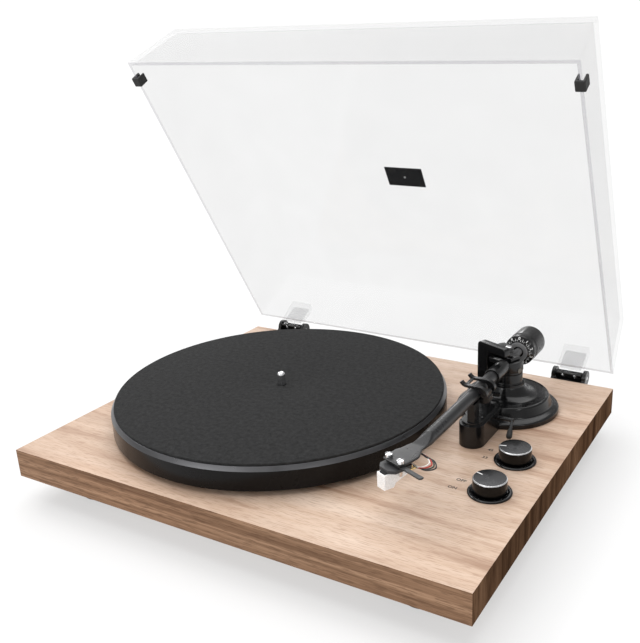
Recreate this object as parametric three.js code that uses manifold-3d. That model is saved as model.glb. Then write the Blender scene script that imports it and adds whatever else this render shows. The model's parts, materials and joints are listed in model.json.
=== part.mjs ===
// Belt-drive record player: walnut plinth, platter with a felt mat, pivoted tonearm on a gimbal,
// two control knobs and a clear hinged lid that stands open.
// Millimetres, +X to the right, +Y to the rear, +Z up. The origin is on the floor, under the
// middle of the object's box. Everything is laid out from the middle of the plinth's front
// bottom edge, and the outer group moves that point to where the origin asks.

import * as THREE from "three";
import { mergeVertices } from "three/addons/utils/BufferGeometryUtils.js";
import Module from "manifold-3d";

const wasm = await Module();
wasm.setup();

// ---------------------------------------------------------------- driving dimensions

// Clearances
const seat = 0.1; // between two flat faces that rest on each other
const gap = 0.3; // beside a piece that fits in another
const running = 0.1; // round a shaft that turns, on the radius
const past = 1; // how far a cutting shape runs past the face it cuts
const bond = 0.01; // overlap of solids that are joined face to face
const bite = 0.5; // how far one shape runs into the next where they are joined

// Plinth and feet
const plinthWidth = 420;
const plinthDepth = 341;
const plinthHeight = 25;
const plinthSkin = 4; // wood left above the pockets
const plinthRearWall = 8; // wood left behind the electronics pocket
const footHeight = 22;
const footRadius = 18;
const footFromSide = 53;
const footFromEnd = 40;
const footStep = 1; // between the bands of its side
const footPad = 4; // height of the pad at its bottom
const footShoulder = 4; // below the plinth, where its side starts to draw in
const footTaper = 3; // how far it draws in
const coverThickness = 2;
const coverPastMotor = 4; // the cover's edges past the motor's pocket, the switches' and the
const coverPastSwitches = 7; // bearing, and from the plinth's rear
const coverAhead = 9;
const coverPastBearing = 10;
const coverFromRear = 4;
const coverPastFoot = 1; // and at least this far inside the left feet's axes
const electronicsLeft = 204; // the electronics pocket's sides from the arm's pivot
const electronicsRight = 52;
const electronicsBehind = 8.5; // and its front behind the pivot
const switchPocketHalf = 12; // half the switches' pocket's width
const switchPocketAhead = 14; // its front ahead of the start knob
const channelNear = 34; // the cable channel's sides behind the motor
const channelFar = 52;
const motorChannelHalf = 9;
const armChannelHalf = 6;
const armHoleClear = 2; // round the pillar's stub
const stemClear = 1; // round a knob's stem

// Platter, mat, spindle and drive
const platterFromSide = 161.8; // spindle from the plinth's left side
const platterFromRear = 176.5;
const platterRadius = 150.5;
const platterHeight = 19.9;
const platterPlate = 5; // thickness of its top
const platterRim = 9; // thickness of its wall
const platterBevel = 2.4;
const platterLift = 4.4; // above the plinth
const matInset = 3; // mat's edge inside the platter's
const matThickness = 2;
const spindleRadius = 3.6;
const spindleAboveMat = 12.4;
const spindleTip = 2.4; // height of its rounded end
const subPlatterInset = 65.5; // its rim inside the platter's wall
const subPlatterHeight = 13;
const bearingRadius = 10;
const bearingFlangeRadius = 18;
const bearingFlange = 3;
const bearingFloor = 2; // under the spindle
const bearingClear = 0.2; // above the cover
const bossClear = 0.6; // below the sub-platter
const pulleyInset = 24; // the pulley's side inside the platter's wall
const motorAngle = 135; // degrees from +X
const motorRadius = 18;
const motorHeight = 15;
const motorShaftRadius = 1.5;
const motorShaftFloor = 3; // under the pulley's shaft
const motorFlange = 4; // its flange's reach past its case
const motorFlangeThickness = 1.5;
const motorNeckRadius = 6; // its neck through the plinth
const motorClear = 1; // round its flange and its neck
const pulleyRadius = 9.5;
const pulleyHeight = 12;
const pulleyRim = 1; // its rims' height, width and slope
const beltWidth = 6;
const beltThickness = 0.8;

// Control knobs
const knobFromSide = 35; // knobs' axes from the plinth's right side
const speedKnobFromRear = 172;
const startKnobFromRear = 226;
const knobRadius = 13.2;
const knobTop = 12.5; // above the plinth
const knobChamfer = 1.2;
const knobStemRadius = 3;
const knobStemLength = 14;
const bezelShows = 3.9; // the bezel's edge outside the knob's
const bezelHeight = 1.6;
const speedPointer = 194; // degrees from +X, where the pointer stands
const startPointer = 164;
const switchSize = 16;
const switchFloor = 8; // above the plinth's underside
const knobClear = 0.4; // between the knob and its bezel
const knobFootInset = 0.6; // the chamfer at its foot
const knobFootRise = 0.8;
const pointerStart = 6.5; // the pointer's inner end from the axis
const pointerHalf = 0.6;
const pointerDepth = 0.5;
const bezelChamfer = 0.9; // insets of the bezel's edge, its rim and the foot of its dish
const bezelRim = 2.4;
const bezelDish = 3.6;

// Tonearm
const armFromSide = 76; // the vertical pivot from the plinth's right side
const armFromRear = 81.5; // and from its rear
const armAxis = 45.5; // height of the tube's axis above the plinth
const yokeTurn = 22; // the gimbal is turned by the headshell's offset, degrees
const offsetAngle = 23; // of the headshell from the tube, degrees
const armBaseRadius = 46;
const armFlange = 4.4;
const armRimInset = 9.5; // the dish's rim inside the flange's edge
const armRimHeight = 16;
const armNeckRadius = 14.5;
const armNeckHeight = 27;
const pillarInset = 1.5; // the pillar's side inside the neck's
const pillarHeight = 9.2;
const pillarStubRadius = 6;
const pillarFloor = 9; // the stub's end above the plinth's underside
const yokeWellDepth = 6; // the spindle's well below the neck's top
const bearingScrewRadius = 1.5; // the screw in the yoke's right cheek
const bearingScrewHead = 2.3;
const bearingScrewSunk = 1.2;
const bearingScrewStands = 0.8;
const bearingScrewDepth = 3;
const bearingScrewDrop = 5.2; // below the tube's axis
const yokeSpindleRadius = 3;
const yokeHalfWidth = 13;
const cheek = 3.6;
const frameSize = 37.6;
const frameHeight = 36.7;
const frameRight = 14; // its bar's end to the right of the pivot
const frameThickness = 7;
const frameReach = 13.4; // from the pivot to the frame's back
const framePost = 12; // width of its solid left side
const frameCorner = 3.5;
const windowTop = 12.6; // the bar's underside above the tube's axis
const windowClear = 1.4; // least room beside the tube
const liftRoom = 4.8; // least room over the collar, which rises as the arm is lifted
const yokePlate = 2;
const yokeRear = 6.5; // the cheeks' rear edges behind the pivot
const yokeFront = 3.5; // the right cheek's and the bridge's front
const bridgeHeight = 4;
const frameAboveAxis = 1.75; // the frame's middle above the tube's axis
const bridgeTop = 13.2; // above the tube's axis
const bridgeRight = 3.5; // its end to the right of the pivot
const rightCheekTop = 2.8; // above the tube's axis
const pinRadius = 1.5;
const hubClear = 0.5; // beside the bearing block, within the cheeks
const pivotScrewRadius = 1.5;
const pivotHeadRadius = 2.8;
const pivotHeadHeight = 0.9;
const pivotHeadChamfer = 0.3;
const tubeRadius = 5.4;
const tubeWall = 0.8;
const collarWall = 1.6;
const collarEnd = 40; // from the pivot to the collar's front
const collarDepth = 8; // the tube's socket in the collar
const collarChamfer = 0.5;
const coreWall = 0.4; // the hub's core over the stub's radius
const hubReach = 6; // the bearing block's half length and its height
const wingReach = 6.4; // the hub's wing in the frame: how far to the left it goes,
const wingFloor = 3.6; // where its faces lie above the axis and its length
const wingTop = 7.8;
const wingLength = 5;
const neckEnd = 161.5; // from the pivot to the tube's front
const screwSpacing = 12.7; // of the cartridge's two screws
const screwsReach = 204; // from the pivot to the screws, along the tube
const screwsSide = 7; // and sideways, towards the platter
const headshellPlate = 2;
const spadeFront = 5; // the spade's front ahead of the screws
const spadeFrontHalf = 6.5;
const spadeHalf = 9.3;
const neckReach = 22; // length of the tube's flattened end
const neckSqueeze = 0.62; // how much narrower it is at its front
const plugLength = 8; // how far the headshell's plug reaches into the tube
const screwShank = 1.3; // radius of the cartridge's screws
const screwBelow = 8.5; // their ends below the headshell
const screwHeadRadius = 2.3;
const screwHeadHeight = 1;
const screwCrownRadius = 1.4;
const screwCrownHeight = 0.7;
const liftClear = 1.3; // the finger lift's slot between the headshell and the cartridge
const cartridgeFront = 10; // of its mounting plate, ahead of the screws
const cartridgeRear = 10;
const cartridgeHalf = 8.8;
const cartridgePlate = 2.4;
const cartridgeDepth = 8; // from the mounting plate's top to its underside
const coreFront = 11;
const tailRear = 9.5;
const stylusFront = 8.6; // ahead of the screws
const guardDrop = 18.5; // the guard's floor below the headshell's top
const guardFront = 13;
const guardFrontHalf = 4.2;
const guardShoulder = 5; // where its sides start to draw in, ahead of the screws
const guardWall = 1.2; // its front wall and its floor
const guardSide = 1;
const guardRear = 9.3;
const guardHeel = 5; // where its floor steps up, ahead of the screws
const guardStep = 3;
const guardCutRise = 7; // its underside's rise at the rear
const stylusClear = 0.8; // between the stylus and the guard's floor
const fingerReach = 28; // the finger lift's length from the cartridge's middle
const fingerHalf = 2;
const leadRadius = 0.55;
const leadDrop = 3.2; // the leads' root below the headshell's plate
const leadsFromTube = 18; // the root ahead of the tube's front
const leadSwing = 15; // how far the leads loop out to the right
const stubRadius = 4;
const dialStart = 24.5; // from the pivot to the tracking dial's face
const dialLength = 10;
const dialHoleRadius = 4.9; // the hole that the stub passes through
const dialFaceRadius = 8.8; // its front ring's
const dialConeStart = 9.4; // radius where its cone starts
const dialConeLength = 3.6; // from its face
const counterweightLength = 24.7;
const counterweightRadius = 14.4;
const counterweightChamfer = 1.2;
const stubInWeight = 12; // how far the rear stub reaches into the weight
const weightTravel = 6; // how far the weight can be screwed forwards

// Arm lift, arm rest and clip
const liftWidth = 22;
const liftReach = 89; // the housing's front in front of the pivot
const liftRearReach = 42.5;
const liftHeight = 22;
const liftOffset = 1.5; // the housing's middle to the left of the tonearm's
const liftStep = 2.2; // the inset of its upper step
const liftStepHeight = 2.2;
const liftConeClear = 4; // its upper part from the base's rim
const pistonRadius = 3;
const pistonFloor = 4; // the piston's bore above the plinth
const pistonRest = 8;
const leverShaftRadius = 1.8;
const leverShaftAhead = 6.5; // ahead of the piston
const leverShaftStart = 4; // its inner end from the housing's middle
const leverRodRadius = 1.3;
const leverTipRadius = 2.6;
const leverTipStart = 9; // along the rod
const leverLength = 18.6;
const leverTilt = 119; // degrees back from upright
const leverTurn = 10; // degrees to the side
const restReach = 80; // in front of the pivot
const platformReach = 45.5;
const platformLow = 6; // its drop from just under the tube
const platformHalf = 2; // half its bar's width
const platformThickness = 2.4;
const platformLeft = -108; // its ends about the pivot, degrees from +X
const platformRight = -78;
const leverShaftHeight = 15; // above the plinth
const leverOffset = 24; // the lever to the right of the pivot
const clipHingeOffset = 9.5; // to the right of the tube's axis
const clipHingeHeight = 47; // above the plinth
const clipFrontReach = 79.5; // in front of the pivot
const clipRearReach = 63;
const clipPinRadius = 1.2;
const clipPinReach = 1.6; // past the fingers' middles
const clipFingerHalf = 2; // half a finger's width
const clipLift = 0.5; // the fingers over the tube
const postHalf = 3.2; // half the rest's post across
const postHalfLength = 5;
const shelfInset = 4; // the rest's shelf inside the fingers' middles
const lugHalf = 1.6;

// Lid and hinges. The lid is laid out shut and then turned open.
const lidInset = 2; // the lid's rim inside the plinth's edge, all round
const lidHeight = 66;
const lidWall = 3;
const lidSideDraft = 6;
const lidFrontDraft = 5.2;
const lidRearDraft = 5.8;
const lidLift = 3; // rim above the plinth when shut
const lidOpen = 60.6; // degrees
const hingeBehind = 10; // axis behind the plinth
const hingeAbove = 1.4; // axis above the plinth's top
const hingeFromSide = 45;
const hingeWidth = 34;
const earThickness = 3.6;
const earRadius = 7.5;
const hingePinRadius = 2;
const bracketThickness = 2.5;
const bracketFloor = 3; // above the plinth's underside
const bracketBelowTop = 1;
const earFoot = 6; // where an ear leaves the plate
const earBelly = 12; // and its underside below the pin
const sleeveClear = 0.5; // between the sleeve and each ear
const leafInset = 2.4; // the leaf's edge inside the sleeve's, each side
const leafThickness = 1.5;
const leafLength = 24;
const sleeveLength = 27;
const sleeveThickness = 7;
const bumperLength = 8.5;
const bumperHeight = 7.5;
const bumperWall = 2.2;
const bumperFromFront = 15;
const badgeWidth = 40;
const badgeLength = 22;
const badgeThickness = 1;

// Circuit board, from its pocket's walls and from its own left front corner
const boardZ = 5.5; // its upper face above the plinth's underside
const boardThickness = 1.6;
const boardFromSide = 12; // and from the pocket's rear
const boardFromArmSide = 68;
const boardFromFront = 6;
const boardPillarInset = 6;
const boardPillarRadius = 3;
const capacitor = { left: 22, spacing: 14, front: 16, radius: 5, height: 11 };
const transformer = { left: 78, front: 12, width: 18, depth: 18, height: 8 };
const terminalStrip = { left: 118, front: 18, width: 36, depth: 8, height: 5 };

// Sockets at the rear
const socketPlateFromArm = 74; // its middle to the left of the pivot
const socketPlateWidth = 84;
const socketPlateHeight = 16;
const socketSpacing = 16;
const socketPlateFloor = 3.6; // its lower edge above the plinth's underside
const socketPlateInset = 3; // its inner face inside the plinth's rear
const socketPlateThickness = 2;
const firstSocket = 13; // from the plate's left end
const groundPlace = 2.2; // in spacings from the first socket
const inletPlace = 4;
const phonoRadius = 4.3;
const phonoNutRadius = 6;
const phonoNut = 3; // its nut's inner face from the plate
const phonoRingRadius = 5.6;
const phonoRing = 2;
const phonoTipRadius = 4.1;
const phonoLength = 11; // behind the plate's inner face
const phonoHoleRadius = 1.6;
const phonoHoleFloor = 4;
const groundRadius = 2;
const groundNutRadius = 3.4;
const groundNut = 4;
const groundKnobRadius = 4.4;
const groundKnobLength = 7;
const groundKnobChamfer = 0.8;
const inletRadius = 5;
const inletBodyRadius = 6.5;
const inletHoleRadius = 3.2;
const inletHoleDepth = 7;

// Flat faces round a full turn
const smallSides = 12; // screws, pins and small bores
const plainSides = 24;
const mediumSides = 32; // knobs, weight and base
const largeSides = 54; // platter and its mat

// ---------------------------------------------------------------- derived places

const top = plinthHeight;
const rad = (degrees) => (degrees * Math.PI) / 180;
const platterX = -plinthWidth / 2 + platterFromSide;
const platterY = plinthDepth - platterFromRear;
const matRadius = platterRadius - matInset;
const subPlatterRadius = platterRadius - platterRim - subPlatterInset;
const motorReach = platterRadius - platterRim - pulleyInset - pulleyRadius;
const platterBottom = top + platterLift;
const platterTop = platterBottom + platterHeight;
const platterUnder = platterTop - platterPlate;
const matTop = platterTop + matThickness;
const subPlatterTop = platterUnder - seat;
const subPlatterBottom = subPlatterTop - subPlatterHeight;
const beltMiddle = subPlatterBottom + subPlatterHeight / 2;
const motorX = platterX + motorReach * Math.cos(rad(motorAngle));
const motorY = platterY + motorReach * Math.sin(rad(motorAngle));
const pocketTop = top - plinthSkin;
const armX = plinthWidth / 2 - armFromSide;
const armY = plinthDepth - armFromRear;
const armRimRadius = armBaseRadius - armRimInset;
const pillarRadius = armNeckRadius - pillarInset;
const collarRadius = tubeRadius + collarWall;
const socketPlateX = armX - socketPlateFromArm;
const liftX = armX - liftOffset;
const liftFront = armY - liftReach;
const liftRear = armY - liftRearReach;
const restY = armY - restReach;
const platformY = armY - platformReach;
const leverX = armX + leverOffset;
const clipHingeX = armX + clipHingeOffset;
const clipFrontY = armY - clipFrontReach;
const clipRearY = armY - clipRearReach;
const tubeZ = top + armAxis;
const hingeY = plinthDepth + hingeBehind;
const hingeZ = top + hingeAbove;
const lidRimZ = top + lidLift;
const lidRearY = plinthDepth - lidInset;
const lidFrontY = lidInset;
const lidWidth = plinthWidth - 2 * lidInset;
const hingeX = plinthWidth / 2 - hingeFromSide;
const sleeveWidth = hingeWidth - 2 * (earThickness + sleeveClear);
const leafWidth = sleeveWidth - 2 * leafInset;
const knobX = plinthWidth / 2 - knobFromSide;
const bezelRadius = knobRadius + bezelShows;
const speedKnob = [knobX, plinthDepth - speedKnobFromRear, speedPointer];
const startKnob = [knobX, plinthDepth - startKnobFromRear, startPointer];

// ---------------------------------------------------------------- shape helpers

/** A geometry as a solid that can be cut and joined. */
function solid(geometry) {
  const bare = geometry.clone();
  bare.deleteAttribute("normal");
  bare.deleteAttribute("uv");
  const merged = mergeVertices(bare, 1e-4);
  return new wasm.Manifold(
    new wasm.Mesh({
      numProp: 3,
      vertProperties: new Float32Array(merged.attributes.position.array),
      triVerts: new Uint32Array(merged.index.array),
    }),
  );
}

/** A solid as a geometry. */
function surface(body) {
  const mesh = body.getMesh();
  const geometry = new THREE.BufferGeometry();
  geometry.setAttribute("position", new THREE.BufferAttribute(mesh.vertProperties, 3));
  geometry.setIndex(new THREE.BufferAttribute(mesh.triVerts, 1));
  geometry.computeVertexNormals();
  return geometry;
}

const cut = (body, ...tools) => surface(tools.reduce((s, t) => s.subtract(solid(t)), solid(body)));
const join = (body, ...others) => surface(others.reduce((s, t) => s.add(solid(t)), solid(body)));

/** A block between two corners. */
function block(x0, x1, y0, y1, z0, z1) {
  const geometry = new THREE.BoxGeometry(x1 - x0, y1 - y0, z1 - z0);
  return geometry.translate((x0 + x1) / 2, (y0 + y1) / 2, (z0 + z1) / 2);
}

/** A solid of revolution about the vertical line through x, y, from [radius, height] points. */
function turned(x, y, points, sides = plainSides) {
  const profile = points.map(([r, z]) => new THREE.Vector2(r, z));
  const geometry = new THREE.LatheGeometry(profile, sides);
  return geometry.rotateX(Math.PI / 2).translate(x, y, 0);
}

/** A round bar or a ring about the vertical line through x, y. */
function round(x, y, radius, z0, z1, sides = plainSides) {
  return turned(x, y, [[0, z0], [radius, z0], [radius, z1], [0, z1]], sides);
}

function ring(x, y, outer, inner, z0, z1, sides = plainSides) {
  const profile = [[inner, z0], [outer, z0], [outer, z1], [inner, z1], [inner, z0]];
  return turned(x, y, profile, sides);
}

/** A solid of revolution about the line along +Y through x, z, from [radius, y] points. */
function turnedAlongY(x, z, points, sides = plainSides) {
  return turned(0, 0, points, sides).rotateX(-Math.PI / 2).translate(x, 0, z);
}

function rodAlongY(x, z, radius, y0, y1, sides = plainSides) {
  return turnedAlongY(x, z, [[0, y0], [radius, y0], [radius, y1], [0, y1]], sides);
}

/** A round bar along +X through y, z. */
function rodAlongX(y, z, radius, x0, x1, sides = plainSides) {
  return round(0, 0, radius, x0, x1, sides).rotateY(Math.PI / 2).translate(0, y, z);
}

/** A flat outline raised from z0 to z1. */
function slab(shape, z0, z1, curveSegments = 12) {
  const settings = { depth: z1 - z0, bevelEnabled: false, curveSegments };
  return new THREE.ExtrudeGeometry(shape, settings).translate(0, 0, z0);
}

/** An outline in the plane of Y and Z, drawn as (y, z), run along X from x0 to x1. */
function slabAlongX(shape, x0, x1, curveSegments = 12) {
  const turn = new THREE.Matrix4().makeBasis(
    new THREE.Vector3(0, 1, 0),
    new THREE.Vector3(0, 0, 1),
    new THREE.Vector3(1, 0, 0),
  );
  return slab(shape, x0, x1, curveSegments).applyMatrix4(turn);
}

/** An outline in the plane of X and Z, drawn as (x, z), run along Y from y0 to y1. */
function slabAlongY(shape, y0, y1, curveSegments = 12) {
  const turn = new THREE.Matrix4().makeBasis(
    new THREE.Vector3(1, 0, 0),
    new THREE.Vector3(0, 0, 1),
    new THREE.Vector3(0, -1, 0),
  );
  return slab(shape, -y1, -y0, curveSegments).applyMatrix4(turn);
}

function polygon(points) {
  return new THREE.Shape(points.map(([x, y]) => new THREE.Vector2(x, y)));
}

/** A rectangle with round corners. */
function roundedRectangle(x0, x1, y0, y1, r) {
  const shape = new THREE.Shape();
  shape.absarc(x1 - r, y0 + r, r, -Math.PI / 2, 0);
  shape.absarc(x1 - r, y1 - r, r, 0, Math.PI / 2);
  shape.absarc(x0 + r, y1 - r, r, Math.PI / 2, Math.PI);
  shape.absarc(x0 + r, y0 + r, r, Math.PI, 1.5 * Math.PI);
  return shape;
}

/** A tube of the given radius along a smooth line through the points. */
function wire(points, radius, steps) {
  const path = new THREE.CatmullRomCurve3(points.map((p) => new THREE.Vector3(...p)));
  const section = new THREE.Shape().absarc(0, 0, radius, 0, 2 * Math.PI);
  return new THREE.ExtrudeGeometry(section, { extrudePath: path, steps, curveSegments: 4 });
}

/** A block whose upper corners are drawn in by the walls' draft. */
function drafted(x0, x1, y0, y1, z0, z1, side, front, rear) {
  const geometry = block(x0, x1, y0, y1, z0, z1);
  const p = geometry.attributes.position;
  for (let i = 0; i < p.count; i++) {
    if (p.getZ(i) < (z0 + z1) / 2) continue;
    p.setX(i, p.getX(i) - Math.sign(p.getX(i)) * side);
    p.setY(i, p.getY(i) < (y0 + y1) / 2 ? p.getY(i) + front : p.getY(i) - rear);
  }
  return geometry;
}

// ---------------------------------------------------------------- materials and meshes

const finish = (color, roughness, metalness = 0) =>
  new THREE.MeshStandardMaterial({ color, roughness, metalness });
const walnut = finish(0xb08f78, 0.55);
const blackPlastic = finish(0x151515, 0.4);
const glossBlack = finish(0x0b0b0b, 0.12);
const darkMetal = finish(0x2b2b2d, 0.35, 0.8);
const platterMetal = finish(0x232425, 0.3, 0.7);
const steel = finish(0xc9c9cc, 0.2, 1);
const brass = finish(0xc8a24a, 0.3, 1);
const felt = finish(0x38393b, 0.95);
const rubber = finish(0x101010, 0.8);
const whitePlastic = finish(0xeeeae4, 0.35);
const boardGreen = finish(0x1d5a34, 0.5);
const clear = new THREE.MeshStandardMaterial({
  color: 0xf2f5f6, roughness: 0.03, transparent: true, opacity: 0.2,
});

const player = new THREE.Group();

function piece(name, geometry, material, group = player) {
  const mesh = new THREE.Mesh(geometry, material);
  mesh.name = name;
  group.add(mesh);
  return mesh;
}

// ---------------------------------------------------------------- plinth, cover and feet

const pockets = {
  electronics: [
    armX - electronicsLeft,
    armX + electronicsRight,
    armY + electronicsBehind,
    plinthDepth - plinthRearWall,
  ],
  switches: [
    knobX - switchPocketHalf,
    knobX + switchPocketHalf,
    startKnob[1] - switchPocketAhead,
    armY + electronicsBehind + bite,
  ],
  motorChannel: [
    motorX,
    armX - electronicsLeft + bite,
    motorY + channelNear,
    motorY + channelFar,
  ],
};
const motorPocketRadius = motorRadius + motorFlange + motorClear;
const coverEdge = {
  x0: Math.min(
    motorX - motorPocketRadius - coverPastMotor,
    -plinthWidth / 2 + footFromSide + coverPastFoot,
  ),
  x1: knobX + switchPocketHalf + coverPastSwitches,
  y0: Math.min(
    startKnob[1] - switchPocketAhead - coverAhead,
    platterY - bearingRadius - coverPastBearing,
  ),
  y1: plinthDepth - coverFromRear,
};

/** The board, pocketed from below, with holes for the bearing, motor, arm and knobs. */
function plinth() {
  const board = block(-plinthWidth / 2, plinthWidth / 2, 0, plinthDepth, 0, plinthHeight);
  const { x0, x1, y0, y1 } = coverEdge;
  const channel = pockets.motorChannel;
  const tools = [
    block(x0 - gap, x1 + gap, y0 - gap, y1 + gap, -past, coverThickness + 2 * seat),
    round(motorX, motorY, motorPocketRadius, -past, pocketTop, mediumSides),
    block(motorX - motorChannelHalf, motorX + motorChannelHalf, motorY, channel[3], -past, pocketTop),
    round(motorX, motorY, motorNeckRadius + motorClear, 0, top + past),
    round(platterX, platterY, bearingRadius + gap, -past, top + past),
    round(armX, armY, pillarStubRadius + armHoleClear, -past, top + past),
    block(
      armX - armChannelHalf,
      armX + armChannelHalf,
      armY,
      armY + electronicsBehind + past,
      -past,
      pocketTop,
    ),
    block(
      socketPlateX - socketPlateWidth / 2 - gap,
      socketPlateX + socketPlateWidth / 2 + gap,
      plinthDepth - plinthRearWall - past,
      plinthDepth + past,
      socketPlateFloor - gap,
      socketPlateFloor + socketPlateHeight + gap,
    ),
  ];
  for (const [a, b, c, d] of Object.values(pockets)) {
    tools.push(block(a, b, c, d, -past, pocketTop));
  }
  for (const [x, y] of [speedKnob, startKnob]) {
    tools.push(round(x, y, knobStemRadius + stemClear, 0, top + past));
  }
  return cut(board, ...tools);
}

function foot(x, y) {
  return turned(x, y, [
    [0, -footHeight],
    [footRadius - 2 * footStep, -footHeight],
    [footRadius - footStep, -footHeight + footStep],
    [footRadius - footStep, -footHeight + footPad],
    [footRadius, -footHeight + footPad + footStep],
    [footRadius, -footShoulder],
    [footRadius - footTaper, -seat],
    [0, -seat],
  ]);
}

piece("plinth", plinth(), walnut);
piece(
  "bottom_cover",
  block(coverEdge.x0, coverEdge.x1, coverEdge.y0, coverEdge.y1, seat, seat + coverThickness),
  blackPlastic,
);
for (const [side, sign] of [["left", -1], ["right", 1]]) {
  const x = sign * (plinthWidth / 2 - footFromSide);
  piece("foot_front_" + side, foot(x, footFromEnd), rubber);
  piece("foot_rear_" + side, foot(x, plinthDepth - footFromEnd), rubber);
}

// ---------------------------------------------------------------- bearing, platter and drive

const bearingBottom = coverThickness + 2 * seat + bearingClear;
const bearingBoss = subPlatterBottom - bossClear;

piece(
  "main_bearing",
  turned(platterX, platterY, [
    [0, bearingBottom],
    [bearingRadius, bearingBottom],
    [bearingRadius, top + seat],
    [bearingFlangeRadius, top + seat],
    [bearingFlangeRadius, top + seat + bearingFlange],
    [bearingRadius, top + seat + bearingFlange],
    [bearingRadius, bearingBoss],
    [spindleRadius + running, bearingBoss],
    [spindleRadius + running, bearingBottom + bearingFloor],
    [0, bearingBottom + bearingFloor],
  ]),
  brass,
);
piece(
  "spindle",
  turned(platterX, platterY, [
    [0, bearingBottom + bearingFloor + seat],
    [spindleRadius, bearingBottom + bearingFloor + seat],
    [spindleRadius, matTop + spindleAboveMat - spindleTip],
    [spindleRadius * 0.85, matTop + spindleAboveMat - spindleTip / 2],
    [spindleRadius * 0.5, matTop + spindleAboveMat - spindleTip / 8],
    [0, matTop + spindleAboveMat],
  ]),
  steel,
);
piece(
  "sub_platter",
  ring(
    platterX,
    platterY,
    subPlatterRadius,
    spindleRadius + running,
    subPlatterBottom,
    subPlatterTop,
    mediumSides,
  ),
  blackPlastic,
);
piece(
  "platter",
  turned(
    platterX,
    platterY,
    [
      [spindleRadius + running, platterUnder],
      [platterRadius - platterRim, platterUnder],
      [platterRadius - platterRim, platterBottom],
      [platterRadius, platterBottom],
      [platterRadius, platterTop - platterBevel],
      [platterRadius - platterBevel, platterTop],
      [spindleRadius + running, platterTop],
      [spindleRadius + running, platterUnder],
    ],
    largeSides,
  ),
  platterMetal,
);
piece(
  "felt_mat",
  ring(platterX, platterY, matRadius, spindleRadius + gap, platterTop + seat, matTop, 80),
  felt,
);

const motorTop = pocketTop - gap;
const pulleyBottom = beltMiddle - pulleyHeight / 2;

piece(
  "motor",
  turned(motorX, motorY, [
    [0, motorTop - motorHeight],
    [motorRadius, motorTop - motorHeight],
    [motorRadius, motorTop - motorFlangeThickness],
    [motorRadius + motorFlange, motorTop - motorFlangeThickness],
    [motorRadius + motorFlange, motorTop],
    [motorNeckRadius, motorTop],
    [motorNeckRadius, top],
    [motorShaftRadius + running, top],
    [motorShaftRadius + running, motorTop - motorHeight + motorShaftFloor],
    [0, motorTop - motorHeight + motorShaftFloor],
  ]),
  steel,
);
piece(
  "motor_pulley",
  turned(motorX, motorY, [
    [0, motorTop - motorHeight + motorShaftFloor + seat],
    [motorShaftRadius, motorTop - motorHeight + motorShaftFloor + seat],
    [motorShaftRadius, pulleyBottom],
    [pulleyRadius + pulleyRim, pulleyBottom],
    [pulleyRadius + pulleyRim, pulleyBottom + pulleyRim],
    [pulleyRadius, pulleyBottom + 2 * pulleyRim],
    [pulleyRadius, pulleyBottom + pulleyHeight - 2 * pulleyRim],
    [pulleyRadius + pulleyRim, pulleyBottom + pulleyHeight - pulleyRim],
    [pulleyRadius + pulleyRim, pulleyBottom + pulleyHeight],
    [0, pulleyBottom + pulleyHeight],
  ]),
  brass,
);

/** The loop round two circles and their outer tangents, drawn with the pulley along +X. */
function beltLoop(grow, Kind) {
  const big = subPlatterRadius + grow;
  const small = pulleyRadius + grow;
  const contact = Math.acos((big - small) / motorReach);
  const loop = new Kind();
  loop.absarc(0, 0, big, contact, 2 * Math.PI - contact);
  loop.absarc(motorReach, 0, small, -contact, contact);
  return loop;
}

const beltShape = beltLoop(gap + beltThickness, THREE.Shape);
beltShape.holes.push(beltLoop(gap, THREE.Path));
const belt = piece(
  "drive_belt",
  slab(beltShape, -beltWidth / 2, beltWidth / 2, 18),
  rubber,
);
belt.position.set(platterX, platterY, beltMiddle);
belt.rotation.z = rad(motorAngle);

// ---------------------------------------------------------------- electronics

const board = {
  x0: pockets.electronics[0] + boardFromSide,
  x1: pockets.electronics[1] - boardFromArmSide,
  y0: pockets.electronics[2] + boardFromFront,
  y1: pockets.electronics[3] - boardFromSide,
};

/** The circuit board on its pillars, with its transformer, capacitors and relay. */
function circuitBoard() {
  const { x0, x1, y0, y1 } = board;
  const parts = [];
  for (const x of [x0 + boardPillarInset, x1 - boardPillarInset]) {
    for (const y of [y0 + boardPillarInset, y1 - boardPillarInset]) {
      parts.push(round(x, y, boardPillarRadius, boardZ, pocketTop - seat, smallSides));
    }
  }
  for (const place of [0, 1, 2]) {
    const x = x0 + capacitor.left + place * capacitor.spacing;
    const capTop = boardZ + capacitor.height;
    parts.push(round(x, y0 + capacitor.front, capacitor.radius, boardZ, capTop, smallSides));
  }
  for (const { left, front, width, depth, height } of [transformer, terminalStrip]) {
    const x = x0 + left;
    const y = y0 + front;
    parts.push(block(x, x + width, y, y + depth, boardZ, boardZ + height));
  }
  return join(block(x0, x1, y0, y1, boardZ - boardThickness, boardZ + bond), ...parts);
}

piece("circuit_board", circuitBoard(), boardGreen);

const plateY = plinthDepth - socketPlateInset;
const plateZ = socketPlateFloor + socketPlateHeight / 2;
const plateFace = plateY + socketPlateThickness + gap; // where the sockets' outer rings start
const socketX = (i) => socketPlateX - socketPlateWidth / 2 + firstSocket + i * socketSpacing;
const inletX = socketX(inletPlace);
const groundX = socketX(groundPlace);

/** The plate that closes the opening in the rear wall, holed for what passes through it. */
function socketPlate() {
  const hole = (x, radius) => rodAlongY(x, plateZ, radius + gap, plateY - past, plateFace + past);
  const holes = [0, 1].map((i) => hole(socketX(i), phonoRadius));
  holes.push(hole(groundX, groundRadius), hole(inletX, inletRadius));
  const half = socketPlateWidth / 2;
  const plate = block(
    socketPlateX - half,
    socketPlateX + half,
    plateY,
    plateY + socketPlateThickness,
    plateZ - socketPlateHeight / 2,
    plateZ + socketPlateHeight / 2,
  );
  return cut(plate, ...holes);
}

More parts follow.
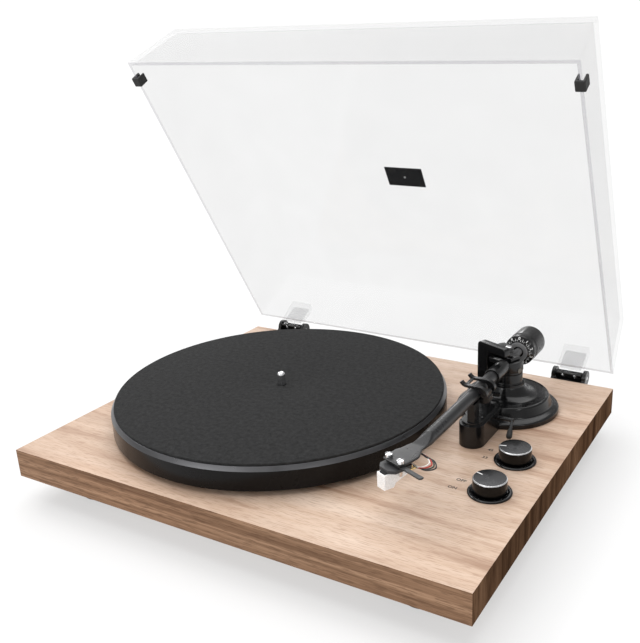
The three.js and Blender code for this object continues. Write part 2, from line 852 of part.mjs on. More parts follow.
/** A phono socket: nut, barrel and the tail that reaches the board. */
function phonoSocket(x) {
  return turnedAlongY(x, plateZ, [
    [0, board.y1 + gap],
    [phonoRadius, board.y1 + gap],
    [phonoRadius, plateY - phonoNut],
    [phonoNutRadius, plateY - phonoNut],
    [phonoNutRadius, plateY - gap],
    [phonoRadius, plateY - gap],
    [phonoRadius, plateFace],
    [phonoRingRadius, plateFace],
    [phonoRingRadius, plateFace + phonoRing],
    [phonoTipRadius, plateFace + phonoRing],
    [phonoTipRadius, plateY + phonoLength],
    [phonoHoleRadius, plateY + phonoLength],
    [phonoHoleRadius, plateY + phonoHoleFloor],
    [0, plateY + phonoHoleFloor],
  ], smallSides);
}

piece("socket_plate", socketPlate(), blackPlastic);
piece("phono_socket_left", phonoSocket(socketX(0)), whitePlastic);
piece("phono_socket_right", phonoSocket(socketX(1)), brass);
piece(
  "ground_terminal",
  turnedAlongY(groundX, plateZ, [
    [0, plateY - groundNut],
    [groundNutRadius, plateY - groundNut],
    [groundNutRadius, plateY - gap],
    [groundRadius, plateY - gap],
    [groundRadius, plateFace],
    [groundKnobRadius, plateFace],
    [groundKnobRadius, plateY + groundKnobLength],
    [groundKnobRadius - groundKnobChamfer, plateY + groundKnobLength + 1],
    [0, plateY + groundKnobLength + 1],
  ], smallSides),
  steel,
);
piece(
  "power_inlet",
  turnedAlongY(inletX, plateZ, [
    [0, board.y1 + gap],
    [inletBodyRadius, board.y1 + gap],
    [inletBodyRadius, plateY - gap],
    [inletRadius, plateY - gap],
    [inletRadius, plateFace + seat],
    [inletHoleRadius, plateFace + seat],
    [inletHoleRadius, plateY - inletHoleDepth],
    [0, plateY - inletHoleDepth],
  ], smallSides),
  blackPlastic,
);

// ---------------------------------------------------------------- knobs

/** A control's dish bezel, its knob with the stem below, and the rotary switch. */
function control(name, [x, y, pointer]) {
  const low = top + seat;
  const knobBottom = low + bezelHeight + knobClear;
  const knobZ = top + knobTop;
  const knob = turned(x, y, [
    [0, knobBottom - knobStemLength],
    [knobStemRadius, knobBottom - knobStemLength],
    [knobStemRadius, knobBottom],
    [knobRadius - knobFootInset, knobBottom],
    [knobRadius, knobBottom + knobFootRise],
    [knobRadius, knobZ - knobChamfer],
    [knobRadius - knobChamfer, knobZ],
    [0, knobZ],
  ], mediumSides);
  const mark = block(
    pointerStart,
    knobRadius + past,
    -pointerHalf,
    pointerHalf,
    knobZ - pointerDepth,
    knobZ + past,
  );
  mark.rotateZ(rad(pointer)).translate(x, y, 0);
  piece(
    name + "_bezel",
    turned(x, y, [
      [knobStemRadius + gap, low],
      [bezelRadius, low],
      [bezelRadius, low + bezelHeight * 0.6],
      [bezelRadius - bezelChamfer, low + bezelHeight],
      [bezelRadius - bezelRim, low + bezelHeight],
      [bezelRadius - bezelDish, low + bezelHeight / 2],
      [knobStemRadius + gap, low + bezelHeight / 2],
      [knobStemRadius + gap, low],
    ], mediumSides),
    glossBlack,
  );
  piece(name + "_knob", cut(knob, mark), darkMetal);
  const half = switchSize / 2;
  const well = round(
    x,
    y,
    knobStemRadius + running,
    knobBottom - knobStemLength - seat,
    top,
    mediumSides,
  );
  piece(
    name + "_switch",
    cut(block(x - half, x + half, y - half, y + half, switchFloor, pocketTop - seat), well),
    blackPlastic,
  );
}

control("speed", speedKnob);
control("start", startKnob);

// ---------------------------------------------------------------- tonearm base and pillar

const neckTop = top + armNeckHeight;
const pillarTop = neckTop + seat + pillarHeight;
const yokeWell = neckTop - yokeWellDepth;

piece(
  "arm_base",
  turned(
    armX,
    armY,
    [
      [pillarStubRadius + gap, top + seat],
      [armBaseRadius, top + seat],
      [armBaseRadius, top + armFlange],
      [armBaseRadius - 1.6, top + armFlange + 1.2],
      [armRimRadius + 3.4, top + armFlange + 2.4],
      [armRimRadius + 0.4, top + armRimHeight - 0.8],
      [armRimRadius - 0.6, top + armRimHeight],
      [armRimRadius - 2, top + armRimHeight - 0.6],
      [armNeckRadius + 11, top + armRimHeight - 0.4],
      [armNeckRadius + 4.6, top + armRimHeight + 2.6],
      [armNeckRadius + 1.4, top + armRimHeight + 6.6],
      [armNeckRadius, top + armRimHeight + 8.4],
      [armNeckRadius, neckTop],
      [pillarStubRadius + gap, neckTop],
      [pillarStubRadius + gap, top + seat],
    ],
    mediumSides,
  ),
  blackPlastic,
);

/** The fixed bearing post: a drum on the base's neck and a stub through the plinth. */
function armPillar() {
  return turned(armX, armY, [
    [0, pillarFloor],
    [pillarStubRadius, pillarFloor],
    [pillarStubRadius, neckTop + seat],
    [pillarRadius, neckTop + seat],
    [pillarRadius, pillarTop],
    [yokeSpindleRadius + running, pillarTop],
    [yokeSpindleRadius + running, yokeWell],
    [0, yokeWell],
  ], mediumSides);
}

piece("arm_pillar", armPillar(), blackPlastic);

// ---------------------------------------------------------------- gimbal

// The gimbal's own group: origin on the pivot at the tube's axis, turned by yokeTurn. Its -Y
// looks at the headshell and its X runs along the horizontal bearing.
const gimbal = new THREE.Group();
gimbal.position.set(armX, armY, tubeZ);
gimbal.rotation.z = -rad(yokeTurn);
player.add(gimbal);

const yokeFloor = pillarTop + gap - tubeZ;
const frameTop = frameHeight / 2 + frameAboveAxis;
const bridgeLow = bridgeTop - bridgeHeight;
const hubHalf = yokeHalfWidth - cheek - hubClear;
const coreRadius = stubRadius + coreWall; // the hub between the yoke's cheeks

/** The bearing screw's shape, grown by a clearance, in its place on the yoke's right cheek. */
function bearingScrewTool(grow) {
  const seatAt = yokeHalfWidth - bearingScrewSunk - grow;
  const end = yokeHalfWidth + bearingScrewStands;
  const screw = turned(0, 0, [
    [0, yokeHalfWidth - bearingScrewDepth - grow],
    [bearingScrewRadius + grow, yokeHalfWidth - bearingScrewDepth - grow],
    [bearingScrewRadius + grow, seatAt],
    [bearingScrewHead + grow, seatAt],
    [bearingScrewHead + grow, end],
    [0, end],
  ], smallSides);
  return screw.rotateY(Math.PI / 2).translate(0, 0, -bearingScrewDrop);
}

/** The turning yoke: a disc on the pillar, a high and a low cheek, and a bridge to the pivot. */
function bearingYoke() {
  const disc = round(0, 0, yokeHalfWidth, yokeFloor, yokeFloor + yokePlate, mediumSides);
  const stem = round(
    0,
    0,
    yokeSpindleRadius,
    yokeWell + seat - tubeZ,
    yokeFloor + bite,
    mediumSides,
  );
  const cheekAt = (x0, x1, y0, z1) => block(x0, x1, y0, yokeRear, yokeFloor + bite, z1);
  const left = cheekAt(-yokeHalfWidth, -yokeHalfWidth + cheek, -frameReach + gap, bridgeTop);
  const right = cheekAt(yokeHalfWidth - cheek, yokeHalfWidth, -yokeFront, rightCheekTop);
  const bridge = block(-yokeHalfWidth, bridgeRight, -yokeFront, yokeRear, bridgeLow, bridgeTop);
  const side = yokeHalfWidth + past;
  const holes = rodAlongX(0, 0, pinRadius + running, -side, side, smallSides);
  const screwHole = round(0, 0, pivotScrewRadius + gap, bridgeLow - past, bridgeTop + past, smallSides);
  return cut(join(disc, stem, left, right, bridge), holes, screwHole, bearingScrewTool(gap));
}

/** The frame: a broad left post and a bar over the arm, open to the right and below. */
function gimbalFrame() {
  const half = frameSize / 2;
  const outline = roundedRectangle(-half, frameRight, frameTop - frameHeight, frameTop, frameCorner);
  const front = -frameReach - frameThickness;
  const opening = block(
    -Math.max(half - framePost, tubeRadius + windowClear),
    half,
    front - past,
    -frameReach + past,
    frameTop - frameHeight - past,
    Math.max(windowTop, collarRadius + liftRoom),
  );
  return cut(slabAlongY(outline, front, -frameReach, 6), opening);
}

piece("bearing_yoke", bearingYoke(), blackPlastic, gimbal);
piece("gimbal_frame", gimbalFrame(), blackPlastic, gimbal);
piece("bearing_screw", bearingScrewTool(0), steel, gimbal);
piece(
  "pivot_screw",
  turned(0, 0, [
    [0, bridgeLow - 1],
    [pivotScrewRadius, bridgeLow - 1],
    [pivotScrewRadius, bridgeTop + seat],
    [pivotHeadRadius, bridgeTop + seat],
    [pivotHeadRadius - pivotHeadChamfer, bridgeTop + seat + pivotHeadHeight],
    [0, bridgeTop + seat + pivotHeadHeight],
  ], smallSides),
  steel,
  gimbal,
);

// ---------------------------------------------------------------- arm

// The arm's group: origin on the pivot at the tube's axis. The tube runs towards -Y.
const arm = new THREE.Group();
arm.position.set(armX, armY, tubeZ);
player.add(arm);

/** The arm's middle: bearing block with its pins, collar for the tube and stub for the weight. */
function armHub() {
  const middle = block(-hubHalf, hubHalf, -hubReach, hubReach, -coreRadius, hubReach);
  const pinEnd = yokeHalfWidth - 0.4;
  const pins = rodAlongX(0, 0, pinRadius, -pinEnd, pinEnd, smallSides);
  const frameFront = -frameReach - frameThickness;
  const wingStart = frameFront + 1;
  const wingRoot = -wingStart * Math.tan(rad(yokeTurn)) - 1;
  const wing = block(-wingReach, wingRoot, wingStart, wingStart + wingLength, wingFloor, wingTop);
  const cross = join(middle, pins, wing).rotateZ(-rad(yokeTurn));
  const core = rodAlongY(0, 0, coreRadius, -yokeHalfWidth - 2, -1);
  const collar = turnedAlongY(0, 0, [
    [0, -collarEnd],
    [collarRadius - collarChamfer, -collarEnd],
    [collarRadius, -collarEnd + 1],
    [collarRadius, -yokeHalfWidth - 1],
    [0, -yokeHalfWidth - 1],
  ], plainSides);
  const stub = rodAlongY(0, 0, stubRadius, 1, stubEnd);
  const socket = rodAlongY(0, 0, tubeRadius + gap, -collarEnd - past, -collarEnd + collarDepth);
  return cut(join(cross, core, collar, stub), socket);
}

const weightStart = dialStart + dialLength + gap;
const weightEnd = weightStart + counterweightLength;
const stubEnd = weightStart + stubInWeight;

piece("arm_hub", armHub(), darkMetal, arm);
piece(
  "arm_tube",
  turnedAlongY(0, 0, [
    [tubeRadius - tubeWall, -neckEnd],
    [tubeRadius, -neckEnd],
    [tubeRadius, -collarEnd + collarDepth - 1],
    [tubeRadius - tubeWall, -collarEnd + collarDepth - 1],
    [tubeRadius - tubeWall, -neckEnd],
  ]),
  darkMetal,
  arm,
);

// ---------------------------------------------------------------- headshell and cartridge

// The cartridge's group: origin midway between its screws on the headshell's top, turned by
// the offset angle. Its -Y looks forward.
const plateTop = 0;
const plateLow = plateTop - headshellPlate;
const cartridge = new THREE.Group();
cartridge.position.set(-screwsSide, -screwsReach, plateTop);
cartridge.rotation.z = -rad(offsetAngle);
arm.add(cartridge);

const screwEnd = plateLow - screwBelow;

/** The flat spade in the arm's axes: its front square to the cartridge, its rear on the tube. */
function headshell() {
  const c = Math.cos(rad(offsetAngle));
  const s = Math.sin(rad(offsetAngle));
  const place = (x, y) => [-screwsSide + x * c + y * s, -screwsReach - x * s + y * c];
  const spade = new THREE.Shape();
  spade.moveTo(...place(-spadeFrontHalf, -spadeFront));
  spade.lineTo(...place(spadeFrontHalf, -spadeFront));
  spade.lineTo(...place(spadeHalf, -1));
  spade.lineTo(...place(spadeHalf, 4));
  spade.lineTo(3.2, -neckEnd - 21);
  spade.quadraticCurveTo(3.4, -neckEnd - 12, tubeRadius - 0.6, -neckEnd - 4);
  spade.lineTo(-tubeRadius + 0.6, -neckEnd - 4);
  spade.quadraticCurveTo(-tubeRadius - 1, -neckEnd - 15, ...place(-10.6, 16));
  spade.lineTo(...place(-11, 10));
  spade.lineTo(...place(-spadeHalf, 2));
  spade.closePath();
  const plate = slab(spade, plateLow, plateTop, 6);
  const neck = flattenedNeck();
  const bore = tubeRadius - tubeWall - gap;
  const plug = rodAlongY(0, 0, bore, -neckEnd - 2, -neckEnd + plugLength);
  const holes = [-1, 1].map((side) => {
    const [x, y] = place((side * screwSpacing) / 2, 0);
    return round(x, y, screwShank + gap, plateLow - past, plateTop + past, smallSides);
  });
  return cut(join(plate, neck, plug), ...holes);
}

/** The tube's end drawn out flat: a round bar whose front end is squeezed to the plate. */
function flattenedNeck() {
  const rear = -neckEnd - gap;
  const geometry = rodAlongY(0, 0, tubeRadius, rear - neckReach, rear);
  const p = geometry.attributes.position;
  for (let i = 0; i < p.count; i++) {
    if (p.getY(i) > rear - neckReach / 2) continue;
    p.setX(i, p.getX(i) * neckSqueeze);
    p.setZ(i, p.getZ(i) * (headshellPlate / 2 / tubeRadius) - headshellPlate / 2);
  }
  return geometry;
}

const cartridgeTop = plateLow - seat;
const bodyShape = polygon([
  [-4.7, -cartridgeFront],
  [4.7, -cartridgeFront],
  [cartridgeHalf, -6.2],
  [cartridgeHalf, 8],
  [6, cartridgeRear],
  [-6, cartridgeRear],
  [-cartridgeHalf, 8],
  [-cartridgeHalf, -6.2],
]);
const guardFloor = plateTop - guardDrop;
const guardHalf = screwSpacing / 2 - screwShank - gap; // it passes between the screws

/** The cartridge: a wide mounting plate and a slim body with the stylus below its front. */
function cartridgeBody() {
  const low = cartridgeTop - liftClear;
  const nose = guardHalf - guardSide - gap;
  const noseFront = guardFrontHalf - guardSide - gap;
  const plate = slab(bodyShape, low - cartridgePlate, low);
  const core = slab(
    polygon([
      [-noseFront, -coreFront],
      [noseFront, -coreFront],
      [nose, -guardShoulder],
      [nose, tailRear],
      [-nose, tailRear],
      [-nose, -guardShoulder],
    ]),
    low - cartridgeDepth,
    low - cartridgePlate + seat,
  );
  const tip = guardFloor + guardWall + stylusClear;
  const root = low - cartridgeDepth;
  const stylus = turned(0, -stylusFront, [[0, tip], [0.7, root], [0, root + seat]], smallSides);
  const holes = [-1, 1].map((side) =>
    round((side * screwSpacing) / 2, 0, screwShank + gap, low - 5, low + past, smallSides),
  );
  return cut(join(plate, core, stylus), ...holes);
}

/** The white guard: a tray round the stylus and body that pulls off forwards, cut up behind. */
function stylusGuard() {
  const high = cartridgeTop - liftClear - cartridgePlate - 2 * gap;
  const outline = (inset, front, rear) =>
    polygon([
      [-guardFrontHalf + inset, front],
      [guardFrontHalf - inset, front],
      [guardHalf - inset, -guardShoulder],
      [guardHalf - inset, rear],
      [-guardHalf + inset, rear],
      [-guardHalf + inset, -guardShoulder],
    ]);
  const outer = slab(outline(0, -guardFront, guardRear), guardFloor, high);
  const inner = slab(
    outline(guardSide, -guardFront + guardWall, guardRear + past),
    guardFloor + guardWall,
    high + past,
  );
  const underside = polygon([
    [-guardHeel, guardFloor - past],
    [guardRear + past, guardFloor - past],
    [guardRear + past, guardFloor + guardCutRise],
    [-guardHeel + 2, guardFloor + guardStep],
    [-guardHeel, guardFloor],
  ]);
  return cut(outer, inner, slabAlongX(underside, -12, 12));
}

/** The finger lift: a strip held under the right-hand screw that reaches out to the side. */
function fingerLift() {
  const strip = new THREE.Shape();
  strip.moveTo(2.6, -2.4);
  strip.lineTo(10, -fingerHalf);
  strip.quadraticCurveTo(20, -1.6, fingerReach, -1.9);
  strip.quadraticCurveTo(fingerReach + 1.6, 0, fingerReach + 0.6, fingerHalf);
  strip.quadraticCurveTo(20, 1.4, 10, fingerHalf);
  strip.lineTo(2.6, 2.6);
  strip.closePath();
  const low = cartridgeTop - liftClear + seat;
  const plate = slab(strip, low, plateLow - seat, 6);
  const hole = round(screwSpacing / 2, 0, screwShank + gap, low - past, plateLow + past, smallSides);
  return cut(plate, hole);
}

function cartridgeScrew(side) {
  return turned((side * screwSpacing) / 2, 0, [
    [0, screwEnd],
    [screwShank, screwEnd],
    [screwShank, plateTop + seat],
    [screwHeadRadius, plateTop + seat],
    [screwHeadRadius, plateTop + seat + screwHeadHeight],
    [screwCrownRadius, plateTop + seat + screwHeadHeight + screwCrownHeight],
    [0, plateTop + seat + screwHeadHeight + screwCrownHeight],
  ], smallSides);
}

const leadSteps = 14;

/** The four leads, which leave the arm together and loop round to the cartridge's pins. */
function cartridgeLeads() {
  const z = plateLow - leadDrop;
  const rootY = -neckEnd - leadsFromTube;
  const root = block(-3, 3, rootY - 2, rootY + 2, z - 0.8, z + 0.8);
  const c = Math.cos(rad(offsetAngle));
  const s = Math.sin(rad(offsetAngle));
  const leads = [-1.5, -0.5, 0.5, 1.5].map((k) => {
    const pinX = 3 * k;
    const pinY = 10 + gap;
    const endX = -screwsSide + pinX * c + pinY * s;
    const endY = -screwsReach - pinX * s + pinY * c;
    const reach = leadSwing + 2 * k;
    const middleY = (endY + rootY) / 2;
    return wire(
      [
        [k * 1.5, rootY, z],
        [5 + k, rootY - 1 - k, z - 0.4],
        [reach - 4, middleY + 4, z - 1],
        [reach, middleY - 2, z - 2 - k * 0.4],
        [reach - 5, middleY - 7, z - 3],
        [endX + 3 * s + 2.4, endY + 4 * c, z - 4],
        [endX, endY, z - 4.4],
      ],
      leadRadius,
      leadSteps,
    );
  });
  return join(root, ...leads);
}

piece("headshell", headshell(), darkMetal, arm);
piece("cartridge_body", cartridgeBody(), blackPlastic, cartridge);
piece("stylus_guard", stylusGuard(), whitePlastic, cartridge);
piece("finger_lift", fingerLift(), darkMetal, cartridge);
piece("cartridge_screw_left", cartridgeScrew(-1), steel, cartridge);
piece("cartridge_screw_right", cartridgeScrew(1), steel, cartridge);
piece("cartridge_leads", cartridgeLeads(), rubber, arm);

// ---------------------------------------------------------------- counterweight and dial

piece(
  "tracking_dial",
  turnedAlongY(0, 0, [
    [dialHoleRadius, dialStart],
    [dialFaceRadius, dialStart],
    [dialConeStart, dialStart + dialConeStart - dialFaceRadius],
    [counterweightRadius - 0.6, dialStart + dialConeLength],
    [counterweightRadius, dialStart + dialConeLength + 1],
    [counterweightRadius, dialStart + dialLength],
    [dialHoleRadius, dialStart + dialLength],
    [dialHoleRadius, dialStart],
  ], mediumSides),
  blackPlastic,
  arm,
);
piece(
  "counterweight",
  turnedAlongY(0, 0, [
    [stubRadius + gap, weightStart],
    [counterweightRadius, weightStart],
    [counterweightRadius, weightEnd - counterweightChamfer],
    [counterweightRadius - counterweightChamfer, weightEnd],
    [0, weightEnd],
    [0, stubEnd + weightTravel + 1],
    [stubRadius + gap, stubEnd + weightTravel + 1],
    [stubRadius + gap, weightStart],
  ], mediumSides),
  darkMetal,
  arm,
);

// ---------------------------------------------------------------- lift, rest and clip

const liftTop = top + seat + liftHeight;
const tubeLow = tubeZ - tubeRadius;
const platformTop = tubeLow - gap - platformLow;
const leverShaftZ = top + leverShaftHeight;
const leverShaftY = platformY - leverShaftAhead;

/** The oblong housing with a rounded front and a stepped top, bored for the lift and lever. */
function liftHousing() {
  const outline = (inset) => {
    const half = liftWidth / 2 - inset;
    const shape = new THREE.Shape();
    shape.absarc(liftX, liftFront + liftWidth / 2, half, Math.PI, 2 * Math.PI);
    shape.lineTo(liftX + half, liftRear);
    shape.lineTo(liftX - half, liftRear);
    shape.closePath();
    return shape;
  };
  const low = slab(outline(0), top + seat, liftTop - liftStepHeight, 16);
  const high = slab(outline(liftStep), liftTop - liftStepHeight - bite, liftTop, 16);
  const baseClear = round(
    armX,
    armY,
    armBaseRadius + gap,
    top - past,
    top + armRimHeight,
    mediumSides,
  );
  const coneClear = round(armX, armY, armRimRadius + liftConeClear, top, liftTop + past, mediumSides);
  const pistonBore = pistonRadius + running;
  const piston = round(liftX, platformY, pistonBore, top + pistonFloor, liftTop + past, smallSides);
  const shaft = rodAlongX(
    leverShaftY,
    leverShaftZ,
    leverShaftRadius + running,
    liftX + leverShaftStart - 2,
    liftX + liftWidth,
    smallSides,
  );
  return cut(join(low, high), baseClear, coneClear, piston, shaft);
}

/** The rest: a post on the housing with a shelf under the tube and the clip's upright. */
function armRest() {
  const shelfTop = tubeLow - gap;
  const post = block(
    armX - postHalf,
    armX + postHalf,
    restY - postHalfLength,
    restY + postHalfLength,
    liftTop + seat,
    shelfTop - 1,
  );
  const shelf = slabAlongY(
    polygon([
      [armX - 9, shelfTop - 1.4],
      [armX - 8.4, shelfTop - 2.8],
      [armX - 4, shelfTop - 3.4],
      [clipHingeX - 2, shelfTop - 3.4],
      [clipHingeX + 2.4, shelfTop - 1],
      [clipHingeX + 2.4, top + clipHingeHeight - 3.4],
      [clipHingeX - 2.4, top + clipHingeHeight - 3.4],
      [clipHingeX - 4, shelfTop],
      [armX - 7, shelfTop],
    ]),
    clipFrontY + shelfInset,
    clipRearY - shelfInset,
  );
  const knuckle = rodAlongY(
    clipHingeX,
    top + clipHingeHeight,
    clipPinRadius,
    clipFrontY - clipPinReach,
    clipRearY + clipPinReach,
    smallSides,
  );
  const lug = block(
    clipHingeX - lugHalf,
    clipHingeX + lugHalf,
    clipFrontY + shelfInset + 0.5,
    clipRearY - shelfInset - 0.5,
    top + clipHingeHeight - 4,
    top + clipHingeHeight + 0.6,
  );
  return join(post, shelf, lug, knuckle);
}

/** The clip: two fingers that arch over the tube from the rest's pin, joined beyond it by a bar. */
function restClip() {
  const z = top + clipHingeHeight;
  const over = tubeZ + tubeRadius + clipLift;
  const finger = new THREE.Shape();
  finger.moveTo(clipHingeX + 3, z + 0.5);
  finger.quadraticCurveTo(clipHingeX + 1.5, over + 2.2, armX + 3, over + 2.2);
  finger.quadraticCurveTo(armX - 3, over + 2.2, armX - 5.6, over + 2);
  finger.quadraticCurveTo(armX - 8, over + 1.8, armX - 10.2, over + 4.6);
  finger.lineTo(armX - 11.8, over + 3.6);
  finger.quadraticCurveTo(armX - 9, over - 0.4, armX - 5.6, over);
  finger.lineTo(armX + 2, over);
  finger.quadraticCurveTo(armX + 6, over - 0.3, clipHingeX - 3, z);
  finger.lineTo(clipHingeX - 2, z - 2);
  finger.lineTo(clipHingeX + 2.6, z - 2);
  finger.closePath();
  const fingers = [clipFrontY, clipRearY].map((y) =>
    slabAlongY(finger, y - clipFingerHalf, y + clipFingerHalf, 6),
  );
  const bar = block(armX - 8.4, armX - 6, clipFrontY, clipRearY, over + 0.3, over + 1.7);
  const bore = clipPinRadius + running;
  const pin = rodAlongY(clipHingeX, z, bore, clipFrontY - 5, clipRearY + 5, smallSides);
  return cut(join(fingers[0], fingers[1], bar), pin);
}

/** The lift's piston and the curved bar that comes up under the tube. */
function liftPlatform() {
  const piston = round(
    liftX,
    platformY,
    pistonRadius,
    top + pistonRest,
    platformTop - platformThickness / 2 - gap,
    smallSides,
  );
  const reach = armY - platformY;
  const arc = new THREE.Shape();
  const a0 = rad(platformLeft);
  const a1 = rad(platformRight);
  arc.absarc(armX, armY, reach + platformHalf, a0, a1);
  arc.absarc(armX, armY, reach - platformHalf, a1, a0, true);
  arc.closePath();
  return join(piston, slab(arc, platformTop - platformThickness, platformTop, 10));
}

/** The cueing lever: a cross shaft into the housing and a rod that ends in a rubber tip. */
function cueLever() {
  const shaft = rodAlongX(
    leverShaftY,
    leverShaftZ,
    leverShaftRadius,
    liftX + leverShaftStart,
    leverX + leverRodRadius + seat,
    smallSides,
  );
  const rod = turned(0, 0, [
    [0, 0],
    [leverRodRadius, 0],
    [leverRodRadius + 0.2, leverTipStart],
    [leverTipRadius - 0.2, leverTipStart + 2],
    [leverTipRadius, leverLength - 1.6],
    [leverTipRadius - 1, leverLength],
    [0, leverLength],
  ], smallSides);
  const lean = new THREE.Matrix4().makeRotationX(rad(leverTilt));
  rod.applyMatrix4(lean).rotateZ(rad(leverTurn)).translate(leverX, leverShaftY, leverShaftZ);
  return join(shaft, rod);
}

piece("lift_housing", liftHousing(), blackPlastic);
piece("arm_rest", armRest(), blackPlastic);
piece("rest_clip", restClip(), blackPlastic);
piece("lift_platform", liftPlatform(), blackPlastic);
piece("cue_lever", cueLever(), blackPlastic);

// ---------------------------------------------------------------- hinges

/** A hinge's fixed half: a plate on the plinth's rear and two ears that hold the pin. */
function hingeBracket(x) {
  const half = hingeWidth / 2;
  const plate = block(
    x - half,
    x + half,
    plinthDepth + seat,
    plinthDepth + seat + bracketThickness,
    bracketFloor,
    top - bracketBelowTop,
  );
  const ears = [-1, 1].map((side) => {
    const inner = x + side * (half - earThickness);
    const outer = x + side * half;
    const shape = new THREE.Shape();
    shape.moveTo(plinthDepth + seat, earFoot);
    shape.lineTo(hingeY, earBelly);
    shape.absarc(hingeY, hingeZ, earRadius, -Math.PI / 2, Math.PI);
    shape.lineTo(plinthDepth + seat, top - bracketBelowTop);
    shape.closePath();
    return slabAlongX(shape, Math.min(inner, outer), Math.max(inner, outer), 12);
  });
  const bore = rodAlongX(
    hingeY,
    hingeZ,
    hingePinRadius + running,
    x - half - past,
    x + half + past,
  );
  return cut(join(plate, ...ears), bore);
}

for (const [side, sign] of [["left", -1], ["right", 1]]) {
  const x = sign * hingeX;
  piece("hinge_bracket_" + side, hingeBracket(x), blackPlastic);
  piece(
    "hinge_pin_" + side,
    rodAlongX(hingeY, hingeZ, hingePinRadius, x - hingeWidth / 2, x + hingeWidth / 2),
    steel,
  );
}

// ---------------------------------------------------------------- lid

// The lid's group turns about the hinge's axis. Its pieces are laid out shut, in the plinth's
// axes, and moved so that the axis is the group's origin.
const lidGroup = new THREE.Group();
lidGroup.position.set(0, hingeY, hingeZ);
lidGroup.rotation.x = -rad(lidOpen);
player.add(lidGroup);

function lidPiece(name, geometry, material) {
  piece(name, geometry.translate(0, -hingeY, -hingeZ), material, lidGroup);
}

/** The lid: a five-sided box with drafted walls, open below. */
function lid() {
  const half = lidWidth / 2;
  const high = lidRimZ + lidHeight;
  const front = lidFrontY;
  const rear = lidRearY;
  const outer = drafted(
    -half, half, front, rear, lidRimZ, high, lidSideDraft, lidFrontDraft, lidRearDraft,
  );
  const inner = drafted(
    -half + lidWall, half - lidWall, front + lidWall, rear - lidWall, lidRimZ - bond,
    high - lidWall, lidSideDraft, lidFrontDraft, lidRearDraft,
  );
  return cut(outer, inner);
}

/** A clear sleeve on the rear wall, with a pocket for the hinge's leaf. */
function sleeve(x) {
  const lean = (lidRearDraft / lidHeight) * sleeveLength;
  const face = lidRearY + gap;
  const shape = polygon([
    [face, lidRimZ],
    [face + sleeveThickness, lidRimZ],
    [face + sleeveThickness, lidRimZ + sleeveLength],
    [face - lean, lidRimZ + sleeveLength],
  ]);
  const half = sleeveWidth / 2;
  const pocket = block(
    x - leafWidth / 2 - gap,
    x + leafWidth / 2 + gap,
    leafY - gap,
    leafY + leafThickness + gap,
    lidRimZ - past,
    lidRimZ + leafLength - 1 + gap,
  );
  return cut(slabAlongX(shape, x - half, x + half), pocket);
}

const leafY = lidRearY + gap + sleeveThickness / 2;
const knuckleRadius = hingeY - (lidRearY + gap + sleeveThickness) - gap;

/** The hinge's moving half: a knuckle on the pin and a leaf that stands in the sleeve. */
function hingeLeaf(x) {
  const half = sleeveWidth / 2;
  const knuckle = rodAlongX(hingeY, hingeZ, knuckleRadius, x - half, x + half);
  const web = block(x - half, x + half, leafY, hingeY - 2, hingeZ - 1, lidRimZ - seat);
  const leaf = block(
    x - leafWidth / 2,
    x + leafWidth / 2,
    leafY,
    leafY + leafThickness,
    hingeZ,
    lidRimZ + leafLength - 1,
  );
  const bore = rodAlongX(
    hingeY,
    hingeZ,
    hingePinRadius + running,
    x - half - past,
    x + half + past,
  );
  return cut(join(knuckle, web, leaf), bore);
}

/** A rubber clip astride the side wall's rim, which lands on the plinth. */
function bumper(sign) {
  const y0 = lidFrontY + bumperFromFront;
  const lean = (lidSideDraft / lidHeight) * bumperHeight;
  const wallOut = lidWidth / 2 + gap;
  const wallIn = lidWidth / 2 - lidWall - gap;
  const low = top + gap;
  const high = lidRimZ + bumperHeight;
  const across = polygon(
    [
      [wallIn - bumperWall, low],
      [wallOut + bumperWall, low],
      [wallOut + bumperWall, high],
      [wallOut, high],
      [wallOut, lidRimZ - gap],
      [wallIn, lidRimZ - gap],
      [wallIn - lean, high],
      [wallIn - bumperWall, high],
    ].map(([x, z]) => [sign * x, z]),
  );
  return slabAlongY(across, y0, y0 + bumperLength);
}

lidPiece("lid", lid(), clear);
for (const [side, sign] of [["left", -1], ["right", 1]]) {
  lidPiece("lid_sleeve_" + side, sleeve(sign * hingeX), clear);
  lidPiece("hinge_leaf_" + side, hingeLeaf(sign * hingeX), blackPlastic);
  lidPiece("bumper_" + side, bumper(sign), rubber);
}

const panelFront = lidFrontY + lidFrontDraft;
const panelRear = lidRearY - lidRearDraft;
const badgeY = (panelFront + panelRear) / 2;
lidPiece(
  "lid_badge",
  block(
    -badgeWidth / 2,
    badgeWidth / 2,
    badgeY - badgeLength / 2,
    badgeY + badgeLength / 2,
    lidRimZ + lidHeight + gap,
    lidRimZ + lidHeight + gap + badgeThickness,
  ),
  glossBlack,
);

// ---------------------------------------------------------------- the whole

// The open lid's rear top edge is the object's rearmost line.
const rearTopY = panelRear - hingeY;
const rearTopZ = lidRimZ + lidHeight - hingeZ;
const rearmost =
  hingeY + rearTopY * Math.cos(rad(lidOpen)) + rearTopZ * Math.sin(rad(lidOpen));

const recordPlayer = new THREE.Group();
player.position.set(0, -rearmost / 2, footHeight);
recordPlayer.add(player);

export default recordPlayer;
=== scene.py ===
# %% [markdown]
# # A belt-drive record player, from its frame to its finishes
# The CAD model says where every part is. This lesson loads it as a fixed frame and builds the looks
# round it: fine surfaces worked out with numpy, and finishes made of shader nodes. Everything is in
# metres and in the CAD's own axes, so a piece is put where the CAD has it and is never fitted by eye.

# %% the fixed frame
import json
import math
import bmesh
import bpy
import numpy as np
from mathutils import Matrix, Vector


